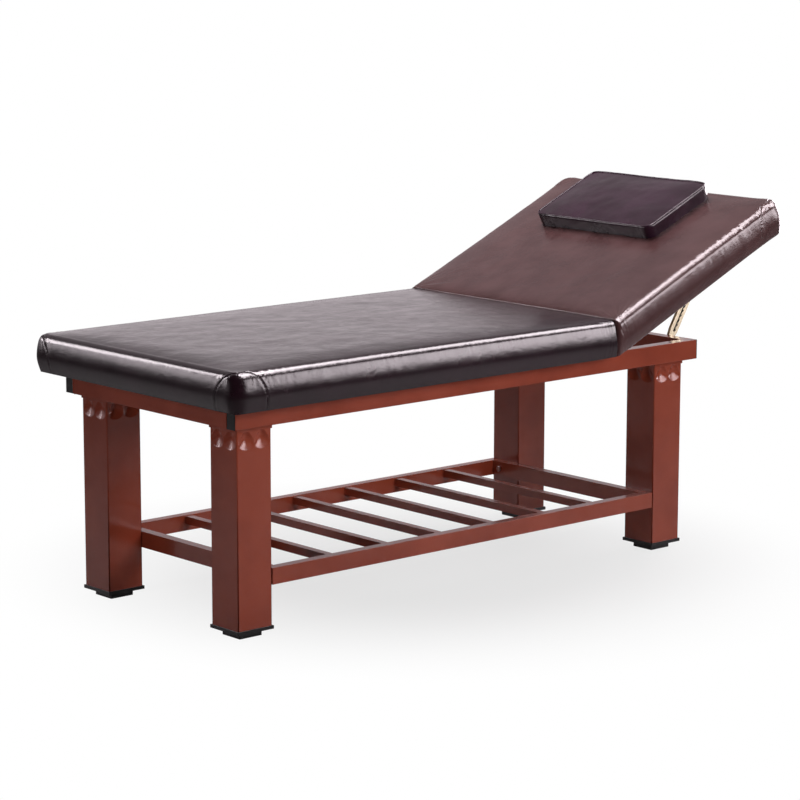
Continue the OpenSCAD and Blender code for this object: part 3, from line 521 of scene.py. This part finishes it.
class Cover:
    """The outer surface of one cushion's cover in its own frame: x from the outer end to the seam,
    y across and z up from the bottom of the board. The sides lean in over the foam and the outer
    end bulges by nose; pucker is the height of the gathers near the outer end."""

    edge_r = 0.024
    edge_turn = (radians(20), radians(82))
    shoulder = 0.006
    shoulder_run = 0.042
    seam_run = 0.015
    bulge = 0.008
    seam_corner_r = 0.012
    draw = 0.003
    crown = 0.002
    patch_foot = (0.076, 0.096)
    patch_head = (0.018, 0.049)

    def __init__(self, length, half, thick, swell, lean, seam_gap, corner_r, lean_in, nose, pucker):
        self.length = length
        self.pucker = pucker
        self.nose = nose
        self.lean_in = lean_in
        self.corner_r = corner_r
        self.half = half
        self.thick = thick
        self.swell = swell
        self.lean = tan(lean)
        self.seam_gap = seam_gap

    def profile(self, share):
        """Inset and height up the side: the lower half of the shares for the side, the rest for
        the rolled edge."""
        start, end = self.edge_turn
        base = self.thick - self.edge_r * (sin(end) - sin(start))
        if share < 0.5:
            z = base * 2 * share
            tucked = self.bulge * max(0.0, 1 - z / (0.45 * self.thick)) ** 2
            return tucked + self.lean_in * max(0.0, (z - 0.35 * base) / (0.65 * base)) ** 2, z
        angle = start + (share - 0.5) * 2 * (end - start)
        return (self.lean_in + self.edge_r * (cos(start) - cos(angle)),
                base + self.edge_r * (sin(angle) - sin(start)))

    def ring_point(self, u, v, inset, z):
        """Plan place of station u, v on the ring with this inset and height."""
        zone = CORNER_ZONE
        core_x = min(max(u, zone), self.length - zone)
        core_y = min(max(v, -self.half + zone), self.half - zone)
        dx, dy = u - core_x, v - core_y
        share = max(abs(dx), abs(dy)) / zone
        if share < 1e-9:
            return u, v
        end = self.length - self.seam_gap - z * self.lean - 0.03 * inset
        outer = dx <= 0
        reach_x = zone - inset if outer else end - (self.length - zone)
        reach_y = zone - inset
        radius = max(self.corner_r - inset, 0.003) if outer else max(self.seam_corner_r - inset / 2, 0.003)
        px, py = dx / share / zone * reach_x, dy / share / zone * reach_y
        qx = min(max(px, radius - reach_x), reach_x - radius)
        qy = min(max(py, radius - reach_y), reach_y - radius)
        away = hypot(px - qx, py - qy)
        if away > 1e-9:
            px = qx + radius * (px - qx) / away
            py = qy + radius * (py - qy) / away
        return core_x + share * px, core_y + share * py

    def place(self, u, v, share):
        """The point of the cover at station u, v; share is 0 at the hem and 1 on the top."""
        inset, z = self.profile(share)
        x, y = self.ring_point(u, v, inset, z)
        middle = max(0.0, 1 - (2 * x / self.length - 1) ** 2)
        x -= self.nose * min(1.0, z / self.thick) ** 1.3 * exp(-x / 0.05)
        if share >= 1:
            end = self.length - self.seam_gap - z * self.lean - 0.03 * inset
            inland = 1.0
            for gap, run in ((x - inset, self.shoulder_run), (end - x, self.seam_run),
                             (self.half - inset - abs(y), self.shoulder_run)):
                inland *= 1 - exp(-max(gap, 0.0) / run)
            z += self.shoulder * inland + self.crown * inland * (1 - (y / self.half) ** 2)
        y *= 1 - self.draw * middle / self.half
        return Vector((x, y, z * (1 + self.swell * middle / self.thick)))


def stations(length, fine, step, zone_start, zone_end):
    """Places of the mesh lines along a length: fine in the zones at the ends, coarse between."""
    first = round(zone_start / fine)
    last = round(zone_end / fine)
    between = round((length - zone_start - zone_end) / step)
    return ([zone_start * k / first for k in range(first)]
            + [zone_start + (length - zone_start - zone_end) * k / between for k in range(between)]
            + [length - zone_end + zone_end * k / last for k in range(last + 1)])


HEM = 0.040


def cover_mesh(cover, fine, step):
    """A box cut into a grid of stations and levels, then moved onto the cover's surface."""
    along = stations(cover.length, fine, step, CORNER_ZONE, 2 * CORNER_ZONE)
    across = stations(2 * cover.half, fine, step, CORNER_ZONE, CORNER_ZONE)
    levels = SIDE_LEVELS + ARC_LEVELS
    mesh = bmesh.new()
    bmesh.ops.create_cube(mesh, size=1.0, matrix=Matrix.Translation((0.5, 0.5, 0.5)))
    for axis, cuts in ((0, len(along) - 2), (1, len(across) - 2), (2, levels - 1)):
        edges = [e for e in mesh.edges if abs((e.verts[0].co - e.verts[1].co)[axis]) > 0.5]
        bmesh.ops.subdivide_edges(mesh, edges=edges, cuts=cuts, use_grid_fill=True)
    bottom = [f for f in mesh.faces if f.calc_center_median().z < 0.0001 and f.normal.z < -0.5]
    bmesh.ops.delete(mesh, geom=bottom, context="FACES")
    for v in mesh.verts:
        u = along[round(v.co.x * (len(along) - 1))]
        w = across[round(v.co.y * (len(across) - 1))] - cover.half
        level = round(v.co.z * levels)
        if level <= SIDE_LEVELS:
            share = 0.5 * level / SIDE_LEVELS
        else:
            share = 0.5 + 0.5 * (level - SIDE_LEVELS) / ARC_LEVELS
        v.co = cover.place(u, w, share)
    return mesh


HINGE_CLEAR = 0.0008
HINGE_ZONE = 0.03


def tuck_hem(mesh, cover):
    """Turns the lower edge of the cover under its board. At the seam the edge ends a little above
    the board's underside, clear of the hinges."""
    rim = [e for e in mesh.edges if e.is_boundary]
    for depth, drop in ((0.004, 0.0012), (HEM, 0.0014)):
        grown = bmesh.ops.extrude_edge_only(mesh, edges=rim)["geom"]
        rim = [e for e in grown if isinstance(e, bmesh.types.BMEdge) and e.is_boundary]
        for v in {v for e in rim for v in e.verts}:
            x_in = min(max(v.co.x, depth + cover.bulge), cover.length - 0.012)
            y_in = min(max(v.co.y, -cover.half + depth + cover.bulge), cover.half - depth - cover.bulge)
            v.co = Vector((x_in, y_in, -drop if v.co.x < cover.length - 0.05 else 0.0002))
    for v in mesh.verts:
        if v.co.x > cover.length - HINGE_ZONE:
            v.co.z = max(v.co.z, HINGE_CLEAR)


def simulate(piece, pinned, pressure, cap):
    """Lets the leather settle over its foam: a short cloth simulation of the piece, with the
    pinned vertices held and every other one moved by no more than cap."""
    group = piece.vertex_groups.new(name="held")
    for index, weight in pinned.items():
        group.add([index], weight, "REPLACE")
    start = [v.co.copy() for v in piece.data.vertices]
    cloth = piece.modifiers.new("cloth", "CLOTH")
    cloth.settings.quality = 5
    cloth.settings.mass = 0.4
    cloth.settings.tension_stiffness = 25
    cloth.settings.compression_stiffness = 25
    cloth.settings.shear_stiffness = 12
    cloth.settings.bending_stiffness = 2.5
    cloth.settings.use_pressure = True
    cloth.settings.uniform_pressure_force = pressure
    cloth.settings.vertex_group_mass = "held"
    cloth.settings.effector_weights.gravity = 0
    cloth.collision_settings.use_collision = False
    scene = bpy.context.scene
    for number in range(1, 21):
        scene.frame_set(number)
    settled = piece.evaluated_get(bpy.context.evaluated_depsgraph_get())
    moved = [v.co.copy() for v in settled.data.vertices]
    piece.modifiers.remove(cloth)
    scene.frame_set(1)
    for v, a, b in zip(piece.data.vertices, start, moved):
        way = b - a
        v.co = a + way * min(1.0, cap / max(way.length, 1e-9))
    piece.vertex_groups.clear()


def subdivided(piece, levels):
    """The piece's mesh as a bmesh, smoothed by a subdivision surface."""
    subsurf = piece.modifiers.new("smooth", "SUBSURF")
    subsurf.levels = subsurf.render_levels = levels
    fresh = bpy.data.meshes.new_from_object(piece.evaluated_get(bpy.context.evaluated_depsgraph_get()))
    piece.modifiers.remove(subsurf)
    mesh = bmesh.new()
    mesh.from_mesh(fresh)
    bpy.data.meshes.remove(fresh)
    return mesh


def patch_edges(cover, z):
    """Distances of the patch's two seams from the corner at a height: on the end and on the side."""
    share = min(1.0, max(0.0, z / cover.thick))
    arch = (1 - share ** 2.4) ** 0.55
    return tuple(high + (low - high) * arch for low, high in zip(cover.patch_foot, cover.patch_head))


def seam_distance(cover, point):
    """Distance of a point of the cover from the nearest corner seam, in metres."""
    x, y, z = point.x, cover.half - abs(point.y), point.z
    if x > 0.16 or y > 0.16 or z < -0.0005:
        return 1.0
    on_end, on_side = patch_edges(cover, z)
    step = 0.002
    end_up, side_up = patch_edges(cover, z + step)
    end_gap = abs(y - on_end) / hypot(1, (end_up - on_end) / step) if x < 0.03 else 1.0
    side_gap = abs(x - on_side) / hypot(1, (side_up - on_side) / step) if y < 0.03 else 1.0
    return min(end_gap, side_gap)


def bell(distance, width):
    return exp(-(distance / width) ** 2)


FOLD_H = 0.0008
CREASE_H = 0.00045
RIPPLE_H = 0.00032
GATHER_H = 0.0011
GROOVE_H = 0.0010
RIDGE_H = 0.0003
TUCK_H = 0.0006
PUFF_SHARE = 2.6
PUCKER_RUN = 0.42
PUCKER_FADE = 0.15


def relief(cover, point):
    """Height of the leather's folds over its smooth shape, along the normal: wide folds and
    creases on the top, ripples and puckers along the sides, gathers at the seam and a groove
    with a ridge beside it at each corner patch. The backrest's near edge is puckered, and its
    corner patches are puffed."""
    x, y, z = point
    near = cover.half - abs(y)
    seam = max(0.0, cover.length - cover.seam_gap - z * cover.lean - x)
    on_top = min(1.0, max(0.0, (z - cover.thick + 0.010) / 0.010))
    inland = min(1.0, min(near, x) / 0.08)
    folds = on_top * inland * (FOLD_H * noise.noise(Vector((x * 7, y * 9, 3)))
                               + CREASE_H * noise.noise(Vector((x * 16, y * 22, 9))))
    on_side = min(1.0, max(0.0, z / cover.thick)) * bell(max(near - 0.016, 0.0), 0.010)
    ripple = noise.noise(Vector((x * 55, z * 9, y))) + 0.6 * noise.noise(Vector((x * 120, z * 12, y)))
    pucker = cover.pucker * (y > 0) * min(1.0, x / 0.10, max(0.0, (PUCKER_RUN - x) / PUCKER_FADE))
    pucker *= min(1.0, max(0.0, z / cover.thick)) ** 3
    folds += on_side * (RIPPLE_H + pucker) * ripple
    gather = bell(seam, 0.045) * bell(max(near - 0.016, 0.0), 0.014)
    folds += GATHER_H * gather * noise.noise(Vector((x * 170, z * 14, y)))
    reach = hypot(seam, near - 0.012)
    if reach < 0.24 and on_top > 0:
        angle = atan((near - 0.012) / max(seam, 1e-4))
        ray = noise.noise(Vector((angle * 7.5, reach * 6, 5)))
        folds += on_top * GATHER_H * ray * bell(reach - 0.05, 0.07)
    if x < 0.15 and near < 0.15:
        gap = seam_distance(cover, point)
        folds -= GROOVE_H * bell(gap, 0.0014)
        folds += RIDGE_H * bell(gap - 0.006, 0.004)
        high = min(1.0, max(0.0, (z - 0.55 * cover.thick) / (0.35 * cover.thick)))
        puffed = bell(hypot(x - 0.022, near - 0.012), 0.040)
        puffed *= bell(z - 0.5 * cover.thick, 0.5 * cover.thick)
        folds += PUFF_SHARE * cover.pucker * puffed
        tuck = noise.noise(Vector((x * 260, near * 260, z * 60)))
        folds += TUCK_H * high * bell(gap - 0.010, 0.012) * tuck
    return folds


def dress(mesh, cover, place):
    """Gives the mesh its folds, the distances of its seams, and its place on the bed."""
    mesh.normal_update()
    rises = [relief(cover, v.co) for v in mesh.verts]
    gaps = [seam_distance(cover, v.co) for v in mesh.verts]
    layer = mesh.verts.layers.float.new("seam")
    for v, rise, gap in zip(mesh.verts, rises, gaps):
        v[layer] = gap
        v.co += v.normal * rise
    tuck_hem(mesh, cover)
    mesh.transform(place)


def stitch_rows(name, mesh, cover, place, material):
    """Thread stitches in two rows beside every corner seam, laid on the finished leather."""
    surface = BVHTree.FromBMesh(mesh)
    rows = bmesh.new()
    for side in (-1, 1):
        for face in (0, 1):
            for offset in (-0.0035, 0.0035):
                path = []
                for k in range(61):
                    z = 0.003 + (cover.thick - 0.006) * k / 60
                    edge = patch_edges(cover, z)[face] + offset
                    inset = cover.profile(min(0.7, 0.5 * z / (0.8 * cover.thick)))[0]
                    x, gap = (inset, edge) if face == 0 else (edge, inset)
                    path.append(place @ Vector((x, side * (cover.half - gap), z)))
                sew(rows, surface, path)
    return new_piece(name, rows, material)


STITCH_PITCH = 0.0045
STITCH_L = 0.0032
THREAD_R = 0.00035


def sew(rows, surface, path):
    """Stitches at an even pitch along a path, each laid on the nearest leather."""
    walked = 0.0
    for a, b in zip(path, path[1:]):
        walked += (b - a).length
        if walked < STITCH_PITCH:
            continue
        walked = 0.0
        spot, normal, _, _ = surface.find_nearest(b)
        if spot is None:
            continue
        way = (b - a).normalized()
        turn = way.to_track_quat("X", "Z").to_matrix().to_4x4()
        shape = Matrix.Diagonal((STITCH_L / 2, THREAD_R, THREAD_R, 1))
        bmesh.ops.create_icosphere(rows, subdivisions=1, radius=1.0,
                                   matrix=Matrix.Translation(spot + normal * THREAD_R * 0.6) @ turn @ shape)


def thread():
    cord = Finish("dark_thread", Roughness=0.6)
    twist = cord.noise(2500.0, 2.0)
    cord.set("Base Color", cord.mix(twist, (0.012, 0.009, 0.010, 1), (0.05, 0.036, 0.036, 1)))
    return cord.material


dark_thread = thread()
seat_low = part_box("seat_cover")[0]
hinge = Vector(next(j["pos_m"] for j in record["behaviour"]["joints"] if j["name"] == "backrest_hinge"))
KNUCKLE_R = 0.005
board_z = hinge.z + KNUCKLE_R
SEAT_T = 0.0925
BED_HALF = 0.400
SIM_STEP = 0.014
FINE = 0.0075


def held_rim(mesh_data, low, high):
    """Full hold at the hem and a weak one everywhere else, as the foam gives."""
    return {v.index: 1.0 if v.co.z < low else high for v in mesh_data.vertices}


def make_cover(name, cover, place, material, cad_node):
    shape = new_piece(name, cover_mesh(cover, FINE, SIM_STEP), material)
    simulate(shape, held_rim(shape.data, 0.003, 0.4), pressure=1.2, cap=0.0012)
    mesh = subdivided(shape, 2)
    dress(mesh, cover, place)
    stitches = stitch_rows(name + "_stitches", mesh, cover, place, dark_thread)
    mesh.to_mesh(shape.data)
    mesh.free()
    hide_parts(cad_node)
    return shape, stitches


seat = Cover(length=hinge.x - seat_low.x, half=BED_HALF, thick=SEAT_T, swell=0.001, lean=radians(2.0),
             seam_gap=0.001, corner_r=0.034, lean_in=0.008, nose=0.006, pucker=0.0)
seat_place = Matrix.Translation((seat_low.x, 0, board_z))
seat_cover, seat_stitches = make_cover("seat_leather_cover", seat, seat_place, seat_leather, "seat_cover")
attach(seat_cover, "frame")
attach(seat_stitches, "frame")


# Backrest's cover: the same construction, turned end for end and leaning at its rest angle.
# Its end stays tight against the flat cushion.
REST_ANGLE = radians(24)
BACK_L = 0.685
BACK_T = 0.0885
BACK_LIFT = -0.0015
back_leather = leather("back_leather", (0.060, 0.024, 0.025), (0.092, 0.041, 0.042), 0.20)
backrest = Cover(length=BACK_L, half=BED_HALF, thick=BACK_T, swell=0.0, lean=radians(22.0),
                 seam_gap=0.003, corner_r=0.041, lean_in=0.004, nose=0.012, pucker=0.0026)
about_hinge = Matrix.Translation(hinge) @ Matrix.Rotation(-REST_ANGLE, 4, "Y") @ Matrix.Translation(-hinge)
end_for_end = Matrix.Translation((hinge.x + BACK_L, 0, board_z + BACK_LIFT)) @ Matrix.Rotation(pi, 4, "Z")
back_cover, back_stitches = make_cover(
    "back_leather_cover", backrest, about_hinge @ end_for_end, back_leather, "back_cover")
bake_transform(back_cover)
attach(back_stitches, "backrest")


# Pillow: a small box pillow of the same leather, stuffed with foam. Its panels are sewn to a band
# with corded piping in both seams. It lies loose on the backrest and presses into it a little.
PILLOW_W = 0.424
PILLOW_L = 0.247
PILLOW_T = 0.044
PILLOW_CROWN = 0.008
PILLOW_CORNER_R = 0.022
PILLOW_BULGE = 0.003
PILLOW_SINK = 0.003
PIPING_R = 0.0021
pillow_leather = leather("pillow_leather", (0.018, 0.006, 0.012), (0.036, 0.013, 0.026), 0.20, 0.25)


def pillow_place():
    """The pillow's own frame on the bed, from its CAD foam block, pressed in a little."""
    corners = frame["nodes"]["pillow_foam"].data.vertices
    middle = sum((v.co for v in corners), Vector()) / len(corners)
    lean = Matrix.Rotation(-REST_ANGLE, 4, "Y")
    return Matrix.Translation(middle) @ lean @ Matrix.Translation((0, 0, -PILLOW_SINK))


PILLOW_CELL = 0.010


def rounded_plan(x, y, half_x, half_y, radius):
    """A place of a rectangle, moved out or in with the rectangle's corners rounded."""
    share = max(abs(x) / half_x, abs(y) / half_y, 1e-9)
    px, py = x / share, y / share
    qx = min(max(px, radius - half_x), half_x - radius)
    qy = min(max(py, radius - half_y), half_y - radius)
    away = max(hypot(px - qx, py - qy), 1e-9)
    return share * (qx + radius * (px - qx) / away), share * (qy + radius * (py - qy) / away)


def make_pillow(place):
    mesh = bmesh.new()
    bmesh.ops.create_cube(mesh, size=1.0)
    for axis, size in ((0, PILLOW_L), (1, PILLOW_W), (2, PILLOW_T)):
        edges = [e for e in mesh.edges if abs((e.verts[0].co - e.verts[1].co)[axis]) > 0.5]
        bmesh.ops.subdivide_edges(mesh, edges=edges, cuts=round(size / PILLOW_CELL), use_grid_fill=True)
    bmesh.ops.transform(mesh, matrix=Matrix.Diagonal((PILLOW_L, PILLOW_W, PILLOW_T, 1)), verts=mesh.verts)
    for v in mesh.verts:
        fx = 1 - abs(2 * v.co.x / PILLOW_L) ** 2.6
        fy = 1 - abs(2 * v.co.y / PILLOW_W) ** 3.2
        out = 1 + PILLOW_BULGE * (0.1 + 1.2 * v.co.z / PILLOW_T) / (PILLOW_L / 2)
        x, y = rounded_plan(v.co.x, v.co.y, PILLOW_L / 2, PILLOW_W / 2, PILLOW_CORNER_R)
        z = v.co.z + (PILLOW_CROWN * fx * fy * 2 * v.co.z / PILLOW_T if v.co.z > 0 else 0.0)
        v.co = Vector((x * out, y * (1 + (out - 1) * PILLOW_L / PILLOW_W), z))
    piece = new_piece("pillow_leather_cover", mesh, pillow_leather)
    rim = {v.index: 0.9 if abs(abs(v.co.z) - PILLOW_T / 2) < 0.002 and max(
        abs(v.co.x) / PILLOW_L, abs(v.co.y) / PILLOW_W) > 0.47 else 0.05 for v in piece.data.vertices}
    simulate(piece, rim, pressure=1.0, cap=0.0015)
    mesh = subdivided(piece, 2)
    mesh.normal_update()
    layer = mesh.verts.layers.float.new("seam")
    rises = []
    for v in mesh.verts:
        edge = min(PILLOW_L / 2 - abs(v.co.x), PILLOW_W / 2 - abs(v.co.y))
        rim_gap = hypot(edge, PILLOW_T / 2 - abs(v.co.z))
        fold = 0.0007 * noise.noise(v.co * 30) + 0.0012 * noise.noise(v.co * 11)
        run = v.co.x if PILLOW_W / 2 - abs(v.co.y) < PILLOW_L / 2 - abs(v.co.x) else v.co.y
        fold += 0.0005 * bell(rim_gap - 0.006, 0.007) * noise.noise(Vector((run * 160, v.co.z * 20, 1)))
        rises.append(fold)
        v[layer] = 1.0
    for v, rise in zip(mesh.verts, rises):
        v.co += v.normal * rise
    piping = pipe_rims(mesh)
    for shape in (mesh, piping):
        shape.transform(place)
    mesh.to_mesh(piece.data)
    mesh.free()
    return piece, new_piece("pillow_piping", piping, pillow_leather)


def pipe_rims(mesh):
    """Corded piping along the pillow's upper and lower rims, a thin tube laid on the leather."""
    surface = BVHTree.FromBMesh(mesh)
    cords = bmesh.new()
    turns, sides = 220, 8
    for height in (-1, 1):
        path = []
        for k in range(turns):
            angle = 2 * pi * k / turns
            reach = max(abs(cos(angle)) / PILLOW_L, abs(sin(angle)) / PILLOW_W)
            x, y = rounded_plan(cos(angle) / reach / 2, sin(angle) / reach / 2,
                                PILLOW_L / 2, PILLOW_W / 2, PILLOW_CORNER_R)
            spot, normal, _, _ = surface.find_nearest(Vector((x, y, height * (PILLOW_T / 2 + 0.002))))
            path.append((spot + normal * PIPING_R * 0.5, normal))
        ring = bmesh.ops.create_grid(cords, x_segments=turns, y_segments=sides, size=0.5)["verts"]
        for v in ring:
            k = round((v.co.x + 0.5) * turns) % turns
            bend = 2 * pi * round((v.co.y + 0.5) * sides) / sides
            centre, normal = path[k]
            along = (path[(k + 1) % turns][0] - path[k - 1][0]).normalized()
            v.co = centre + PIPING_R * (cos(bend) * normal + sin(bend) * along.cross(normal))
    bmesh.ops.remove_doubles(cords, verts=cords.verts, dist=0.00002)
    bmesh.ops.recalc_face_normals(cords, faces=cords.faces)
    layer = cords.verts.layers.float.new("seam")
    for v in cords.verts:
        v[layer] = 1.0
    return cords


pillow_frame = pillow_place()
pillow, pillow_piping = make_pillow(pillow_frame)
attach(pillow, "pillow")
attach(pillow_piping, "pillow")
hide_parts("pillow_cover")


# Floor, light and camera: a studio sweep that shows white and keeps the bed's soft shadow, and a
# pale backdrop behind the bed. Near the bed the floor is lifted less towards white, a painted
# grey pool of shade round it. Pink-white cards are only seen in the polish of the leather and
# paint, and the fills only light the surfaces.
def studio_floor():
    sweep = Finish("studio_floor", Roughness=0.5)
    sweep.set("Base Color", (0.28, 0.28, 0.28, 1))
    out = sweep.node("ShaderNodeVectorMath", {"operation": "LENGTH"}, {0: sweep.place}, "Value")
    rays = sweep.node("ShaderNodeLightPath", {}, {}, "Is Camera Ray")
    white = sweep.node("ShaderNodeEmission", {}, {"Color": (1, 1, 1, 1), "Strength": 1.0})
    # The white lift is weaker near the middle of the bed: painted shade, a grey pool round the bed beside
    # its real shadow.
    lift_with_shade_pool = rays * (0.72 + 0.28 * out.between(0.35, 1.15))
    lit = Wire(sweep, sweep.shader.outputs[0])
    shown = sweep.node("ShaderNodeMixShader", {}, {0: lift_with_shade_pool, 1: lit, 2: white})
    sweep.links.new(shown.socket, sweep.nodes["Material Output"].inputs["Surface"])
    return sweep.material


floor_mesh = bmesh.new()
bmesh.ops.create_grid(floor_mesh, x_segments=1, y_segments=1, size=30.0)
floor = new_piece("floor", floor_mesh, studio_floor(), smooth=False)


def softbox(name, at, towards, size, power, colour=(1, 1, 1)):
    """A rectangular studio lamp at a place, facing a point of the bed."""
    lamp = bpy.data.lights.new(name, "AREA")
    lamp.shape = "RECTANGLE"
    lamp.size, lamp.size_y = size
    lamp.energy = power
    lamp.color = colour
    holder = bpy.data.objects.new(name, lamp)
    bpy.context.scene.collection.objects.link(holder)
    holder.location = at
    holder.rotation_euler = (Vector(towards) - Vector(at)).to_track_quat("-Z", "Y").to_euler()
    return holder


PINK = (1.0, 0.905, 0.95)
for card in (softbox("overhead_right", (1.85, -0.75, 2.9), (0.2, -0.3, 0.6), (1.2, 2.0), 170, PINK),
             softbox("overhead_middle", (0.55, -0.9, 2.9), (0.5, -0.3, 0.6), (0.9, 2.4), 215, PINK),
             softbox("side_card", (2.34, -2.65, 1.52), (0.2, -0.2, 0.5), (2.3, 1.15), 130, PINK),
             softbox("corner_card", (2.75, -0.05, 1.0), (0.92, -0.40, 0.85), (1.5, 1.2), 95, PINK),
             softbox("end_card", (-2.36, 2.95, 2.2), (-0.8, 0.0, 0.6), (0.9, 1.6), 100, PINK),
             softbox("low_card", (-3.15, 2.6, 1.25), (-0.8, 0.0, 0.5), (1.2, 0.8), 20, PINK)):
    card.visible_diffuse = False
for fill_light in (softbox("top_fill", (0.4, 0.7, 3.0), (0.0, 0.0, 0.6), (2.0, 1.4), 90),
                   softbox("front_fill", (0.2, -3.4, 1.5), (-0.3, 0.0, 0.3), (1.6, 1.2), 68),
                   softbox("left_fill", (-2.3, -0.4, 0.9), (-0.8, 0.0, 0.3), (0.6, 0.6), 5.5)):
    fill_light.visible_glossy = False


class Sky(Finish):
    """The studio around the bed: a world whose colour may change with the direction."""

    def __init__(self, name):
        self.world = bpy.data.worlds.new(name)
        self.use(self.world)

    def glow(self, strength, colour=(1, 1, 1, 1)):
        return self.node("ShaderNodeBackground", {}, {"Color": colour, "Strength": strength})


studio = Sky("studio")
bpy.context.scene.world = studio.world
way = studio.node("ShaderNodeVectorMath", {"operation": "NORMALIZE"}, {0: studio.place})
up = studio.node("ShaderNodeSeparateXYZ", {}, {0: way}, "Z")
behind = studio.node("ShaderNodeSeparateXYZ", {}, {0: way}, "Y")
backdrop = (0.30 - up).between(0.0, 0.16) * behind.between(0.0, 0.4)
bounce = studio.node("ShaderNodeVectorMath", {"operation": "DOT_PRODUCT"},
                     {0: way, 1: (0.30, 0.74, 0.60)}, "Value").between(0.6, 1.0)
mirrored = 0.02 + 0.96 * backdrop + 0.50 * bounce
kind = studio.node("ShaderNodeLightPath", {}, {}, "Is Camera Ray")
glossy = studio.node("ShaderNodeLightPath", {}, {}, "Is Glossy Ray")
clear = studio.node("ShaderNodeLightPath", {}, {}, "Is Transmission Ray")
unlit = studio.glow(0.0)
rosy = studio.glow(1.0, (*PINK, 1))
reflected = studio.node("ShaderNodeMixShader", {}, {0: mirrored, 1: unlit, 2: rosy})
plain = studio.node("ShaderNodeMixShader", {}, {0: glossy, 1: studio.glow(0.055), 2: reflected})
sky = studio.node("ShaderNodeMixShader", {},
                  {0: studio.math("MAXIMUM", kind, clear), 1: plain, 2: studio.glow(1.0)})
studio.links.new(sky.socket, studio.nodes["World Output"].inputs["Surface"])

bpy.context.scene.view_settings.view_transform = "Standard"

CAMERA_AT = (-4.79585, -5.3467, 1.7308)
CAMERA_YAW = radians(-41.43)
CAMERA_PITCH = radians(-10.29)
CAMERA_ROLL = radians(0.11)
PHOTO_PX = 800
FOCAL_PX = 2865.73
SENSOR_MM = 36.0
lens = bpy.data.cameras.new("photo_view")
lens.sensor_width = SENSOR_MM
lens.sensor_fit = "HORIZONTAL"
lens.lens = FOCAL_PX / PHOTO_PX * SENSOR_MM
lens.clip_end = 100.0
camera = bpy.data.objects.new("photo_view", lens)
bpy.context.scene.collection.objects.link(camera)
look = Vector((sin(-CAMERA_YAW) * cos(CAMERA_PITCH), cos(CAMERA_YAW) * cos(CAMERA_PITCH), sin(CAMERA_PITCH)))
level = look.to_track_quat("-Z", "Y").to_matrix()
camera.rotation_euler = (level @ Matrix.Rotation(CAMERA_ROLL, 3, "Z")).to_euler()
camera.location = CAMERA_AT
bpy.context.scene.camera = camera
